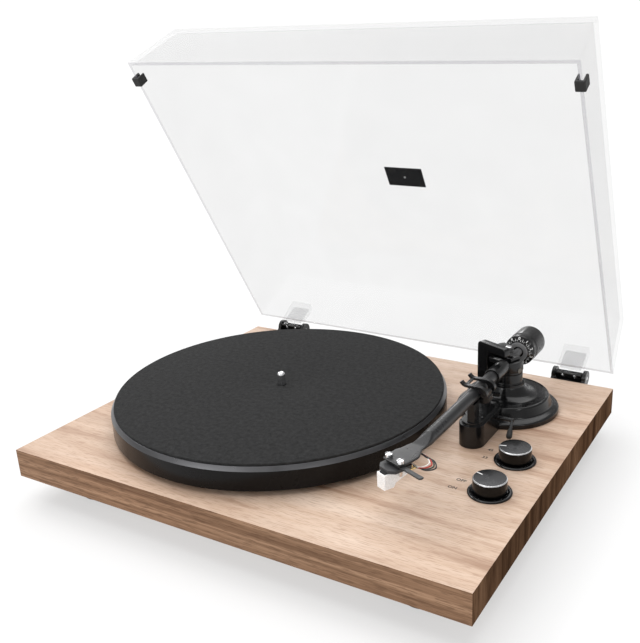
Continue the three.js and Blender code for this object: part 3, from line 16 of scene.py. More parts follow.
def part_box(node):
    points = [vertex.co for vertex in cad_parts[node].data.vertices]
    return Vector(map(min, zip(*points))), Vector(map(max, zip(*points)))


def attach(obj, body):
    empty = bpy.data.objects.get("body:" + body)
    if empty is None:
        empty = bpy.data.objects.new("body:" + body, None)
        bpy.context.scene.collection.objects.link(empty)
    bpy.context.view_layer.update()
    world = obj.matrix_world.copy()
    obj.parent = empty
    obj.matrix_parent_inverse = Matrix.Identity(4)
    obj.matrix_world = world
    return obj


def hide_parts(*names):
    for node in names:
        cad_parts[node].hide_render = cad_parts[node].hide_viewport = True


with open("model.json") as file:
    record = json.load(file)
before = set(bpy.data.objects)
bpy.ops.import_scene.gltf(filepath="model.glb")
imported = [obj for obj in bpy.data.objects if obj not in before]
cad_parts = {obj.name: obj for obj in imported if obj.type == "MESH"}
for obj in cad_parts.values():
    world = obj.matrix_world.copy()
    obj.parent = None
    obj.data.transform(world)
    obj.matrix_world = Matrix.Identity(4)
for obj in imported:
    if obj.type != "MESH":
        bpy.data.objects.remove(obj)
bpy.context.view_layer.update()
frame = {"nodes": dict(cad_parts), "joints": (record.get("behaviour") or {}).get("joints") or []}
joints = {joint["name"]: joint for joint in frame["joints"]}

# %% [markdown]
# A camera is placed with a matrix whose columns are its right, its up and its backward direction.
# Working them out from a heading, a pitch and a roll keeps the three at right angles. The small lens
# shift moves the picture sideways without turning the camera, so upright edges keep their slant.

# %% camera
HEADING, PITCH, ROLL = (math.radians(a) for a in (-29.474, -19.702, -1.601))
EYE = (0.374484, -0.597285, 0.377742)
ahead = np.array([math.sin(HEADING) * math.cos(PITCH), math.cos(HEADING) * math.cos(PITCH), math.sin(PITCH)])
level = np.array([math.cos(HEADING), -math.sin(HEADING), 0.0])
upright = np.cross(level, ahead)
right = math.cos(ROLL) * level + math.sin(ROLL) * upright
above = -math.sin(ROLL) * level + math.cos(ROLL) * upright
camera = bpy.data.objects.new("camera", bpy.data.cameras.new("camera"))
bpy.context.scene.collection.objects.link(camera)
axes = np.eye(4)
axes[:3, 0], axes[:3, 1], axes[:3, 2], axes[:3, 3] = right, above, -ahead, EYE
camera.matrix_world = Matrix(axes.tolist())
camera.data.sensor_width = 36
camera.data.lens = 46.52
camera.data.shift_x = -0.09465
camera.data.shift_y = 0.004625
camera.data.clip_start = 0.01
bpy.context.scene.camera = camera
print("camera looks along", ahead.round(3))

# %% [markdown]
# Places come from the frame. The maker's drawing is in millimetres from the middle of the plinth's
# front bottom edge, so each group of parts gets a matrix that carries its own millimetre drawing to
# the object: the board, the tonearm at its pivot, the turned gimbal, the turned headshell, the lid.

# %% places
MM = 0.001


def corners(node):
    """The lowest and highest corner of a CAD node, as arrays in metres."""
    low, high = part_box(node)
    return np.array(low), np.array(high)


def centre(node):
    """The middle of a CAD node's box."""
    low, high = corners(node)
    return (low + high) / 2


def shifted(place, x=0.0, y=0.0, z=0.0):
    """The place moved by millimetres along its own axes."""
    return place @ Matrix.Translation((x * MM, y * MM, z * MM))


def swung(place, axis, degrees):
    """The place turned about one of its own axes."""
    return place @ Matrix.Rotation(math.radians(degrees), 4, axis)


def measured(node):
    """The place under a node's middle, with its half width and its height in millimetres."""
    low, high = corners(node)
    place = Matrix.Translation((*centre(node)[:2], low[2]))
    return place, (high[0] - low[0]) / 2 / MM, (high[2] - low[2]) / MM


plinth_low, plinth_high = corners("plinth")
board = Matrix.Translation((0.0, plinth_low[1], plinth_low[2]))
PLINTH_TOP = (plinth_high[2] - plinth_low[2]) / MM
pivot = Matrix.Translation(joints["arm_lift"]["pos_m"])
lift_axis = joints["arm_lift"]["axis"]
gimbal = swung(pivot, "Z", math.degrees(math.atan2(-lift_axis[1], -lift_axis[0])))
guard_axis = joints["guard_slide"]["axis"]
screw_middle = (centre("cartridge_screw_left") + centre("cartridge_screw_right")) / 2
plate_top = pivot.translation.z
cartridge = swung(Matrix.Translation((*screw_middle[:2], float(plate_top))), "Z",
                  math.degrees(math.atan2(guard_axis[0], -guard_axis[1])))
hinge_line = Matrix.Translation(joints["lid_hinge"]["pos_m"])


def from_pivot(node):
    """A node's lowest and highest corner, in millimetres from the arm's pivot."""
    return [(corner - np.array(pivot.translation)) / MM for corner in corners(node)]


turns = [round(math.degrees(place.to_euler().z), 2) for place in (gimbal, cartridge)]
print("gimbal and headshell turned", turns)

# %% [markdown]
# Nearly every hard part here is one of three surfaces. A turned part is a profile carried round an
# axis; a drawn part is a circle carried along a path; a plate is an outline lifted through a few
# rings, with the first and last rings drawn in so that its edges are round. All three are grids of
# points with the same rule for their faces, so they share one function that makes the mesh.

# %% meshes from grids of points
WELD = 1e-6


def grid_faces(rows, columns, close_rows=False, close_columns=True):
    """Four-sided faces on a grid: point (i, j) with its neighbours (i, j+1), (i+1, j+1), (i+1, j)."""
    i, j = np.meshgrid(np.arange(rows - (not close_rows)), np.arange(columns - (not close_columns)),
                       indexing="ij")
    over, across = (i + 1) % rows, (j + 1) % columns
    quads = [i * columns + j, i * columns + across, over * columns + across, over * columns + j]
    return np.stack(quads, -1).reshape(-1, 4)


def bar_faces(rows, columns):
    """A grid's faces, with a face over its first ring and one over its last."""
    ends = [list(range(columns)), list(range((rows - 1) * columns, rows * columns))]
    return grid_faces(rows, columns).tolist() + ends


def make_mesh(name, points, faces, crisp=32):
    """An object from points in metres. Points closer than WELD become one, the faces are turned
    outwards, and an edge that bends by more than crisp degrees stays sharp in the shading."""
    mesh = bpy.data.meshes.new(name)
    mesh.from_pydata(np.asarray(points).tolist(), [], [list(map(int, face)) for face in faces])
    work = bmesh.new()
    work.from_mesh(mesh)
    bmesh.ops.remove_doubles(work, verts=work.verts, dist=WELD)
    bmesh.ops.dissolve_degenerate(work, edges=work.edges, dist=WELD / 2)
    bmesh.ops.recalc_face_normals(work, faces=work.faces)
    work.to_mesh(mesh)
    work.free()
    mesh.shade_smooth()
    mesh.set_sharp_from_angle(angle=math.radians(crisp))
    piece = bpy.data.objects.new(name, mesh)
    bpy.context.scene.collection.objects.link(piece)
    return piece


def laid(points, place):
    """Points in a place's millimetres, carried to metres in the object's axes."""
    matrix = np.array(place)
    return (np.asarray(points) * MM) @ matrix[:3, :3].T + matrix[:3, 3]


def rounded(outline, closed=False, steps=4):
    """A profile with its corners rounded. A corner is (a, b) or (a, b, fillet). Each fillet is the
    weighted mean (1-t)^2 start + 2t(1-t) corner + t^2 end, with start and end a fillet away."""
    sizes = np.array([corner[2] if len(corner) > 2 else 0.0 for corner in outline])
    points = np.array([corner[:2] for corner in outline], float)
    before, after = np.roll(points, 1, 0) - points, np.roll(points, -1, 0) - points
    if not closed:
        sizes[[0, -1]] = 0
    long_before, long_after = (np.maximum(np.linalg.norm(v, axis=1), 1e-9) for v in (before, after))
    reach = np.minimum(sizes, 0.48 * np.minimum(long_before, long_after))
    start = points + before * (reach / long_before)[:, None]
    end = points + after * (reach / long_after)[:, None]
    t = np.linspace(0, 1, steps + 1)[None, :, None]
    curve = (1 - t) ** 2 * start[:, None] + 2 * t * (1 - t) * points[:, None] + t**2 * end[:, None]
    keep = np.ones(curve.shape[:2], bool)
    keep[reach == 0, 1:] = False
    return curve[keep]


def turned(name, outline, place, sides=96, closed=False, steps=4):
    """A part turned on a lathe about the place's Z. Point (i, j) is (r_i cos a_j, r_i sin a_j, h_i)
    for a profile of radius and height. A closed profile makes a ring."""
    profile = rounded(outline, closed, steps)
    angle = np.linspace(0, 2 * np.pi, sides, endpoint=False)
    radius, height = profile[:, :1], profile[:, 1:]
    points = np.stack([radius * np.cos(angle), radius * np.sin(angle), height + 0 * angle], -1)
    faces = grid_faces(len(profile), sides, close_rows=closed)
    return make_mesh(name, laid(points.reshape(-1, 3), place), faces)


def drawn(name, path, radius, place, sides=20):
    """A bar along a path in millimetres. Ring i is a circle that stands square to the path at its
    point i, and the ends are closed with a face."""
    path = np.asarray(path, float)
    ahead = np.gradient(path, axis=0)
    ahead /= np.linalg.norm(ahead, axis=1)[:, None]
    aside = np.cross(ahead, [0.0, 0.0, 1.0])
    aside /= np.linalg.norm(aside, axis=1)[:, None]
    up = np.cross(aside, ahead)
    angle = np.linspace(0, 2 * np.pi, sides, endpoint=False)
    ring = aside[:, None] * np.cos(angle)[:, None] + up[:, None] * np.sin(angle)[:, None]
    points = (path[:, None] + radius * ring).reshape(-1, 3)
    return make_mesh(name, laid(points, place), bar_faces(len(path), sides))


def plate(name, outline, low, high, place, edge=0.4, steps=3):
    """A flat part with round edges. Ring k is the outline drawn in along its own normals by
    edge (1 - sin a), at a height edge (1 - cos a) from the face, with a from 0 to a right angle."""
    outline = np.asarray(outline, float)
    run = np.roll(outline, -1, 0) - np.roll(outline, 1, 0)
    inward = np.stack([-run[:, 1], run[:, 0]], -1) / np.linalg.norm(run, axis=1)[:, None]
    x, y = outline.T
    if np.sum(x * np.roll(y, -1) - y * np.roll(x, -1)) < 0:
        inward = -inward
    a = np.linspace(0, np.pi / 2, steps + 1)
    inset = edge * np.concatenate([1 - np.sin(a), 1 - np.sin(a[::-1])])
    height = np.concatenate([low + edge * (1 - np.cos(a)), high - edge * (1 - np.cos(a[::-1]))])
    flat = outline[None] + inset[:, None, None] * inward[None]
    points = np.concatenate([flat, np.broadcast_to(height[:, None, None], (*flat.shape[:2], 1))], -1)
    return make_mesh(name, laid(points.reshape(-1, 3), place), bar_faces(*flat.shape[:2]))


def rectangle(x0, x1, y0, y1, corner, steps=6):
    """The outline of a rectangle with round corners."""
    return rounded([(x0, y0, corner), (x1, y0, corner), (x1, y1, corner), (x0, y1, corner)], True, steps)


# %% [markdown]
# Some CAD parts already have the right shape and want only softer edges. A copy of the node is
# merged, because its triangles come loose, its flat faces are made whole again, and a Bevel
# modifier limited by angle rounds what is left.

# %% softened copies
LOOSE, FLAT_BEND, SHARP_BEND = 3e-6, math.radians(0.8), math.radians(30)


def settle(piece, body, slot, finishes, *nodes):
    """A piece gets its finishes, the body it rides on and the nodes it replaces. The slot is not used."""
    for material in finishes if isinstance(finishes, (list, tuple)) else [finishes]:
        piece.data.materials.append(material)
    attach(piece, body)
    if nodes:
        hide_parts(*nodes)
    return piece


def softened(name, node, width, segments, body, slot, finishes):
    """A merged copy of a CAD node, with a bevel of width millimetres on its edges, in its stead."""
    work = bmesh.new()
    work.from_mesh(frame["nodes"][node].data)
    bmesh.ops.remove_doubles(work, verts=work.verts, dist=LOOSE)
    bmesh.ops.dissolve_limit(work, angle_limit=FLAT_BEND, verts=work.verts, edges=work.edges)
    points = np.array([v.co for v in work.verts])
    faces = [[v.index for v in face.verts] for face in work.faces]
    work.free()
    piece = make_mesh(name, points, faces)
    bevel = piece.modifiers.new("round edges", "BEVEL")
    bevel.width = width * MM
    bevel.segments = segments
    bevel.limit_method = "ANGLE"
    bevel.angle_limit = SHARP_BEND
    bevel.use_clamp_overlap = True
    return settle(piece, body, slot, finishes, node)


def face_centres(piece):
    """The middle and the normal of every face, as arrays in metres."""
    count = len(piece.data.polygons)
    middles, normals = np.zeros(count * 3), np.zeros(count * 3)
    piece.data.polygons.foreach_get("center", middles)
    piece.data.polygons.foreach_get("normal", normals)
    return middles.reshape(-1, 3), normals.reshape(-1, 3)


def paint_faces(piece, index):
    """Gives each face the material of that number."""
    piece.data.polygons.foreach_set("material_index", np.asarray(index, np.int32))
    piece.data.update()


# %% [markdown]
# A finish is a Principled shader with patterns wired into it. Numbers that are the same all over go
# straight on the shader's sockets. Only what varies, such as grain, specks, roughness in patches and
# bump, comes through nodes, and the patterns read Object coordinates so that they stay on the part.

# %% helpers for finishes
def add(material, kind, inputs=None, **settings):
    """A node of that kind, with its inputs set to numbers or wired to sockets."""
    node = material.node_tree.nodes.new("ShaderNode" + kind)
    for key, value in settings.items():
        setattr(node, key, value)
    for key, value in (inputs or {}).items():
        socket = node.inputs[key]
        if isinstance(value, bpy.types.NodeSocket):
            material.node_tree.links.new(value, socket)
        else:
            socket.default_value = value
    return node


def finish(name, colour, roughness, metallic=0.0, **sockets):
    """A new material and its shader, with the sockets that are the same all over."""
    material = bpy.data.materials.new(name)
    material.use_nodes = True
    shader = material.node_tree.nodes["Principled BSDF"]
    shader.inputs["Base Color"].default_value = (*colour, 1)
    shader.inputs["Roughness"].default_value = roughness
    shader.inputs["Metallic"].default_value = metallic
    for key, value in sockets.items():
        shader.inputs[key.replace("_", " ")].default_value = value
    material.diffuse_color = (*colour, 1)
    return material, shader


def scaled(material, scale, turn=(0, 0, 0), middle=(0, 0, 0)):
    """Object coordinates less a middle point, turned and stretched."""
    place = add(material, "TexCoord").outputs["Object"]
    moved = add(material, "Mapping", {"Vector": place, "Location": tuple(-c for c in middle)})
    inputs = {"Vector": moved.outputs[0], "Scale": scale, "Rotation": turn}
    return add(material, "Mapping", inputs).outputs[0]


def noise(material, scale, detail=4.0, roughness=0.5, distortion=0.0, turn=(0, 0, 0)):
    """Noise on Object coordinates, stretched by one number for all three axes or by one for each."""
    vector = scaled(material, scale if isinstance(scale, tuple) else (scale,) * 3, turn)
    return noise_on(material, vector, detail, roughness, distortion)


def noise_on(material, vector, detail, roughness=0.5, distortion=0.0):
    """Noise on any coordinates."""
    inputs = {"Vector": vector, "Scale": 1.0, "Detail": detail, "Roughness": roughness,
              "Distortion": distortion}
    return add(material, "TexNoise", inputs).outputs["Fac"]


def ramp(material, value, stops):
    """Colours at places from 0 to 1 along a value."""
    node = add(material, "ValToRGB", {"Fac": value})
    elements = node.color_ramp.elements
    for i, (place, colour) in enumerate(stops):
        element = elements[i] if i < 2 else elements.new(place)
        element.position = place
        element.color = (*colour, 1)
    return node.outputs["Color"]


def between(material, value, low, high, start=0.0, end=1.0):
    """A value from start to end, carried to low to high."""
    inputs = {"Value": value, "From Min": start, "From Max": end, "To Min": low, "To Max": high}
    return add(material, "MapRange", inputs).outputs["Result"]


def mixed(material, factor, a, b, how="MIX"):
    """Two colours mixed by a factor."""
    return add(material, "Mix", {0: factor, 6: a, 7: b}, data_type="RGBA", blend_type=how).outputs[2]


def wire(material, shader, **sockets):
    """Values wired to the shader's sockets, whose names are written with _ for a space."""
    for key, value in sockets.items():
        material.node_tree.links.new(value, shader.inputs[key.replace("_", " ")])


def bumped(material, shader, height, strength, distance):
    """Height read as bumps of that many metres."""
    inputs = {"Height": height, "Strength": strength, "Distance": distance}
    wire(material, shader, Normal=add(material, "Bump", inputs).outputs[0])


# %% [markdown]
# Walnut veneer is soft streaks that run with the board, thin dark pores along them, and a slow
# change of tone. Noise stretched along X gives the streaks, a second, much finer noise cut off by a
# ramp gives the pores. The top, the front and the ends are three sheets of veneer, so each is its own
# finish: the front is straighter, and the ends are strips cut across the grain. The front is painted
# darker than the top and the ends far darker still: painted shade for the faces turned from the light.

# %% walnut
SLOW, PORE_LONG, PORE_FINE = 0.3, 85.0, 1150.0


def walnut(name, dark, middle, light, scale, pore, shine=0.3):
    """Veneer whose streaks are one over the scale's three numbers in metres along X, Y and Z. The
    pores run along the axis of the smallest one."""
    material, shader = finish(name, middle, 0.5, Specular_IOR_Level=shine)
    streaks = noise(material, scale, 7.0, 0.62, 0.35)
    bands = noise(material, tuple(k * SLOW for k in scale), 3.0, 0.5, 1.4)
    tone = ramp(material, streaks, [(0.28, dark), (0.64, light), (0.46, middle)])
    slow = ramp(material, bands, [(0.35, (0.84, 0.80, 0.77)), (0.65, (1.05, 1.04, 1.03))])
    tone = mixed(material, 1.0, tone, slow, "MULTIPLY")
    sway = noise(material, (3.0, 5.0, 5.0), 2.0)
    tint = ramp(material, sway, [(0.3, (1.0, 0.96, 0.93)), (0.7, (1.0, 1.02, 1.03))])
    tone = mixed(material, 1.0, tone, tint, "MULTIPLY")
    fine = tuple(PORE_LONG if k == min(scale) else PORE_FINE for k in scale)
    dashes = noise(material, fine, 2.0)
    pores = ramp(material, dashes, [(0.38, (1, 1, 1)), (0.48, (0, 0, 0))])
    tone = mixed(material, between(material, pores, 0.0, pore), tone, (*dark, 1))
    wire(material, shader, Base_Color=tone, Roughness=between(material, streaks, 0.55, 0.42))
    bumped(material, shader, pores, -0.25, 0.00006)
    return material


walnut_top = walnut(
    "walnut_top", (0.29, 0.165, 0.105), (0.53, 0.385, 0.29), (0.61, 0.475, 0.38), (6.0, 62.0, 62.0), 0.42)
# The front and end veneers are painted darker than the top: painted shade for faces turned from the light.
walnut_front_painted_shade = walnut("walnut_front_painted_shade", (0.11, 0.058, 0.033), (0.245, 0.143, 0.086), (0.37, 0.23, 0.145),
                      (4.0, 150.0, 260.0), 0.55, 0.08)
walnut_end_painted_shade = walnut("walnut_end_painted_shade", (0.035, 0.018, 0.010), (0.095, 0.052, 0.030), (0.165, 0.095, 0.056),
                    (60.0, 75.0, 6.0), 0.4, 0.0)
walnut_under = walnut(
    "walnut_under", (0.16, 0.11, 0.08), (0.24, 0.17, 0.125), (0.30, 0.22, 0.16), (3.0, 40.0, 40.0), 0.3)
print("walnut for the top, the front, the ends and the inside made")

# %% [markdown]
# The black parts are not one black. Satin paint on metal has a fine orange-peel skin, moulded
# plastic a slight grain, and gloss plastic almost none but faint wipe marks in its roughness. One
# function makes them all, from a colour, a roughness and the size and depth of the skin.

# %% painted, moulded and rubber finishes
def skin(name, colour, roughness, metallic=0.0, grain=900, depth=4e-5, spread=0.06, shine=0.5, **sockets):
    """A nearly plain surface: specks in the tone, cloudy roughness and a fine bumpy skin. grain is the
    specks to a metre, depth the skin's in metres, and shine the specular level."""
    material, shader = finish(name, colour, roughness, metallic, Specular_IOR_Level=shine, **sockets)
    fine = noise(material, grain, 3.0, 0.6)
    cloud = noise(material, 35.0, 4.0, 0.6)
    low, high = (tuple(c * k for c in colour) for k in (0.82, 1.18))
    rough = between(material, cloud, roughness - spread, roughness + spread, 0.3, 0.7)
    wire(material, shader, Base_Color=ramp(material, fine, [(0.3, low), (0.7, high)]), Roughness=rough)
    bumped(material, shader, fine, 0.35, depth)
    return material


satin_black = skin("satin_black", (0.005, 0.005, 0.0054), 0.2, grain=1400, depth=4e-6, shine=0.4)
moulded_black = skin("moulded_black", (0.005, 0.005, 0.0054), 0.26, grain=2200, depth=8e-6, shine=0.35)
gloss_black = skin("gloss_black", (0.004, 0.004, 0.0045), 0.10, 0.0, 300, 3e-6, 0.03, 0.35)
knob_side = skin("knob_side", (0.004, 0.0035, 0.003), 0.16, 0.0, 900, 3e-6, 0.03, 0.2)
tube_black = skin("tube_black", (0.028, 0.028, 0.029), 0.3, 0.25, 1800, 8e-6, shine=0.3)
shell_grey = skin("shell_grey", (0.042, 0.042, 0.043), 0.42, 0.1, 2600, 1.5e-5, shine=0.3)
stub_metal = skin("stub_metal", (0.10, 0.10, 0.102), 0.3, 0.6, 1500, 8e-6)
cartridge_grey = skin("cartridge_grey", (0.03, 0.03, 0.032), 0.4, grain=2000, depth=2e-5, shine=0.3)
dark_satin = skin("dark_satin", (0.012, 0.0115, 0.012), 0.24, 0.1, 1500, 4e-6)
rubber = skin("rubber", (0.012, 0.012, 0.012), 0.72, grain=1700, depth=6e-5)
guard_white = skin("guard_white", (0.93, 0.90, 0.88), 0.36, grain=1500, depth=6e-6, Subsurface_Weight=0.5,
                   Subsurface_Radius=(1.0, 0.9, 0.85), Subsurface_Scale=0.003)
ink_white = skin("ink_white", (0.85, 0.85, 0.84), 0.5, grain=3000, depth=5e-6)
ink_dark = skin("ink_dark", (0.02, 0.015, 0.012), 0.6, grain=3000, depth=5e-6)
board_green = skin("board_green", (0.02, 0.13, 0.055), 0.4, grain=500)
cover_black = skin("cover_black", (0.03, 0.03, 0.032), 0.5, 0.2, 700, 8e-5)
red_ring = skin("red_ring", (0.45, 0.02, 0.02), 0.4, grain=2000)

# %% [markdown]
# Turned metal shows where the tool went: very fine rings. Rings about an axis need the distance from
# that axis, which is the length of the Object coordinates once the axis is at their middle and the
# other two are kept. The rings go in the bump and the roughness, and the brushed look comes from the
# shader's anisotropy with a tangent that runs round the part.

# %% metals
def metal(name, colour, roughness, middle=None, rings=0.0, anisotropic=0.0, depth=0.000004):
    """Bright metal. Given a middle, it has that many turning rings to a metre about an upright axis."""
    material, shader = finish(name, colour, roughness, 1.0, Anisotropic=anisotropic)
    cloud = noise(material, 60.0, 4.0, 0.6)
    rough = between(material, cloud, roughness * 0.75, roughness * 1.3, 0.3, 0.7)
    fine = noise(material, 2500.0, 2.0)
    low, high = (tuple(min(1.0, c * k) for c in colour) for k in (0.9, 1.06))
    wire(material, shader, Base_Color=ramp(material, fine, [(0.3, low), (0.7, high)]), Roughness=rough)
    if middle is None:
        bumped(material, shader, fine, 0.2, depth)
        return material
    spread = scaled(material, (1, 1, 0), middle=tuple(middle))
    far = add(material, "VectorMath", {0: spread}, operation="LENGTH").outputs["Value"]
    count = add(material, "Math", {0: far, 1: rings}, operation="MULTIPLY").outputs[0]
    line = add(material, "CombineXYZ", {"X": count}).outputs[0]
    bumped(material, shader, noise_on(material, line, 3.0, 0.7), 0.35, depth)
    if anisotropic:
        tangent = add(material, "Tangent", direction_type="RADIAL", axis="Z")
        wire(material, shader, Tangent=tangent.outputs[0])
    return material


bright_steel = metal("bright_steel", (0.78, 0.78, 0.79), 0.16)
screw_steel = metal("screw_steel", (0.72, 0.71, 0.70), 0.24)
cut_steel = skin("cut_steel", (0.80, 0.80, 0.81), 0.3, 1.0, 600, 5e-7, 0.03)
worn_steel = metal("worn_steel", (0.20, 0.19, 0.17), 0.34)
turned_brass = metal("turned_brass", (0.80, 0.60, 0.28), 0.25)
motor_steel = metal("motor_steel", (0.55, 0.55, 0.56), 0.35)
platter_dark = metal("platter_dark", (0.062, 0.062, 0.066), 0.36, centre("platter"), 900.0, 0.5, 6e-6)
platter_edge = metal("platter_edge", (0.125, 0.125, 0.13), 0.34, centre("platter"), 1200.0, 0.0, 1e-6)
platter_side = skin("platter_side", (0.006, 0.0055, 0.0055), 0.24, grain=500, depth=3e-6, shine=0.14)
print("finishes", len(bpy.data.materials))

# %% [markdown]
# Felt is pressed wool: no weave, but a mat of short fibres that lie every way. Two noises of
# different stretch crossed at an angle make the fibres, a third makes the loose lumps, and the
# shader's sheen adds the pale bloom that cloth shows at a low angle.

# %% felt
def felt_finish():
    """Pressed wool in a nearly black grey."""
    colour = (0.029, 0.029, 0.030)
    material, shader = finish("felt", colour, 0.95, Specular_IOR_Level=0.1, Sheen_Weight=0.03,
                              Sheen_Roughness=0.5)
    one = noise(material, (2600.0, 420.0, 900.0), 3.0, 0.6, 0.8, (0, 0, 0.5))
    two = noise(material, (420.0, 2600.0, 900.0), 3.0, 0.6, 0.8, (0, 0, -0.35))
    lumps = noise(material, 260.0, 4.0, 0.65)
    fibres = add(material, "Math", {0: one, 1: two}, operation="MAXIMUM").outputs[0]
    height = add(material, "Math", {0: fibres, 1: lumps}, operation="ADD").outputs[0]
    pile = between(material, height, 0.0, 1.0, 0.75, 1.35)
    tone = ramp(material, pile, [(0.0, (0.011, 0.011, 0.0112)), (1.0, (0.034, 0.034, 0.0345))])
    wire(material, shader, Base_Color=tone)
    bumped(material, shader, height, 0.6, 0.00035)
    return material


felt = felt_finish()
print("felt made")

# %% [markdown]
# Clear acrylic could be glass with an index, but thin moulded sheets then fill with bounced light that
# a render cuts off to black. A thin sheet hardly bends light, so it is a glossy skin with a low alpha
# instead, and its sawn and moulded edges, which gather light and turn grey-violet, have more body.

# %% clear acrylic
def clear_finish(name, colour, alpha, rough):
    """A glossy skin that lets most light by, a little hazier in patches."""
    material, shader = finish(name, colour, rough, 0.0, IOR=1.49, Coat_Weight=0.6, Coat_Roughness=0.03)
    haze = noise(material, 25.0, 5.0, 0.6)
    tone = ramp(material, haze, [(0.3, colour), (0.8, tuple(c * 0.97 for c in colour))])
    wire(material, shader, Base_Color=tone, Alpha=between(material, haze, alpha, alpha * 1.15, 0.3, 0.8),
         Roughness=between(material, haze, rough, rough + 0.05, 0.45, 0.75))
    return material


clear_acrylic = clear_finish("clear_acrylic", (0.10, 0.102, 0.105), 0.10, 0.04)
clear_edge = clear_finish("clear_edge", (0.36, 0.35, 0.40), 0.34, 0.12)
clear_block = clear_finish("clear_block", (0.45, 0.45, 0.47), 0.07, 0.05)
print("clear finishes made")

# %% [markdown]
# The plinth is a wrapped board. Its shape is right in the CAD, pockets and all, so it is a softened
# copy, with each face given the veneer of its side by where its normal points. The darker front and
# end veneers put painted shade on the faces that turn from the light.

# %% plinth, cover and feet
plinth = softened("walnut_plinth", "plinth", 0.45, 3, "base", "walnut",
                  [walnut_top, walnut_front_painted_shade, walnut_end_painted_shade, walnut_under])
middles, normals = face_centres(plinth)
STEEP = 0.7
# Front and back faces take the front veneer and the two ends the end veneer, both painted darker as painted
# shade.
side = np.select([normals[:, 2] > STEEP, *(np.abs(normals[:, (1, 0)].T) > STEEP)], [0, 1, 2], 3)
side[(middles[:, 2] < plinth_high[2] - 0.001) & (side == 0)] = 3
paint_faces(plinth, side)


def screw(name, place, radius, height, shank, cross, body, finishes, *nodes):
    """A settled screw head about the place's Z, from z 0 up. Its top is a grid of squares whose
    middle part keeps its shape and whose rim is drawn out to a circle: a point at square distance m
    past the middle a moves from its square towards the circle by (m - a) / (1 - a). Its height is a
    shallow dome less the slot where a point lies within the slot's half width."""
    half_slot, inner = 0.13, 0.3
    slot_sides = np.array([half_slot, half_slot + 0.012])
    lines = np.unique(np.concatenate([np.linspace(-1, 1, 13), -slot_sides, slot_sides]))
    u, v = np.meshgrid(lines, lines, indexing="ij")
    m = np.maximum(np.abs(u), np.abs(v))
    share = np.clip((m - inner) / (1 - inner), 0, 1)
    long = np.maximum(np.hypot(u, v), 1e-9)
    x, y = (c * (1 - share) + c / long * m * share for c in (u, v))
    far = np.hypot(x, y)
    dome = height * (1 - 0.22 * far**2)
    in_slot = np.abs(v) <= half_slot + 1e-6
    if cross:
        in_slot = (in_slot | (np.abs(u) <= half_slot + 1e-6)) & (far < 0.62)
    z = np.where(in_slot, dome - 0.45 * height, dome)
    top = np.stack([x * radius, y * radius, z], -1).reshape(-1, 3)
    count = len(lines)
    faces = grid_faces(count, count, close_columns=False).tolist()
    index = np.arange(count * count).reshape(count, count)
    rim = np.concatenate([index[0, :-1], index[:-1, -1], index[-1, :0:-1], index[:0:-1, 0]])
    edge = top[rim]
    rows = [edge]
    for r, h in ((radius, 0.0), (shank, 0.0), (shank, -height)):
        angle = np.arctan2(edge[:, 1], edge[:, 0])
        rows.append(np.stack([r * np.cos(angle), r * np.sin(angle), h + 0 * angle], -1))
    points = np.concatenate([top, *rows[1:]])
    loops = [rim] + [count * count + k * len(rim) + np.arange(len(rim)) for k in range(3)]
    for a, b in zip(loops, loops[1:]):
        faces += np.stack([a, np.roll(a, -1), np.roll(b, -1), b], -1).tolist()
    faces.append(loops[-1].tolist())
    head = make_mesh(name, laid(points, place), faces)
    return settle(head, body, "steel", finishes, *nodes)


cover_low, cover_high = corners("bottom_cover")
softened("under_cover", "bottom_cover", 0.3, 2, "base", "black_plastic", cover_black)
for i, (fx, fy) in enumerate([(x, y) for y in (0.04, 0.96) for x in (0.03, 0.35, 0.65, 0.97)]):
    spot = cover_low + (cover_high - cover_low) * np.array([fx, fy, 0])
    place = swung(Matrix.Translation(tuple(spot)), "X", 180)
    screw(f"cover_screw_{i + 1}", place, 2.6, 0.9, 1.2, True, "base", screw_steel)

for name in ("front_left", "front_right", "rear_left", "rear_right"):
    place, radius, tall = measured("foot_" + name)
    foot = turned("rubber_foot_" + name, [
        (0, 0.8), (6, 0.8), (7, 0, 0.3), (radius - 2, 0, 0.8), (radius - 1, 1, 0.6), (radius - 1, 4.2, 0.3),
        (radius - 1.7, 4.8, 0.3), (radius, 5.6, 0.5), (radius, tall - 5, 1.5), (radius - 3, tall, 1),
        (0, tall),
    ], place, 96)
    settle(foot, "base", "rubber", rubber, "foot_" + name)
print("plinth, cover and feet made")

# %% [markdown]
# The platter is turned and painted, with the paint cut back to bright metal on its bevel. It is one
# profile carried round the spindle, with a tiny fillet at every corner, because even a sharp turned
# edge catches a line of light. The bevel's faces take the brighter finish and the wall a blacker one.

# %% platter, mat and spindle
place, PLATTER_R, tall = measured("platter")
spindle_place, SPINDLE_R, spindle_tall = measured("spindle")
RIM, PLATE, BEVEL = 9.0, 5.0, 2.4
bore = SPINDLE_R + 0.1
platter = turned("platter_disc", [
    (bore, tall - PLATE), (PLATTER_R - RIM, tall - PLATE, 1.5), (PLATTER_R - RIM, 0, 0.4),
    (PLATTER_R, 0, 0.5), (PLATTER_R, tall - BEVEL - 0.9, 0.3), (PLATTER_R - BEVEL, tall, 0.25),
    (bore, tall, 0.2),
], place, 288, closed=True)
settle(platter, "platter", "platter_metal", [platter_dark, platter_edge, platter_side], "platter")
middles, normals = face_centres(platter)
far = np.hypot(*(middles - centre("platter"))[:, :2].T) / MM
slant = (normals[:, 2] > 0.3) & (normals[:, 2] < 0.95) & (far > PLATTER_R - BEVEL - 0.4)
wall = (normals[:, 2] <= 0.3) & (far > PLATTER_R - 1)
paint_faces(platter, np.select([slant, wall], [1, 2], 0))

place, MAT_R, tall = measured("felt_mat")
mat_hole = SPINDLE_R + 0.3
mat = turned("felt_disc", [
    (mat_hole, 0), (MAT_R, 0, 0.3), (MAT_R, tall, 0.8), (mat_hole, tall, 0.5),
], place, 288, closed=True)
settle(mat, "platter", "felt", felt, "felt_mat")

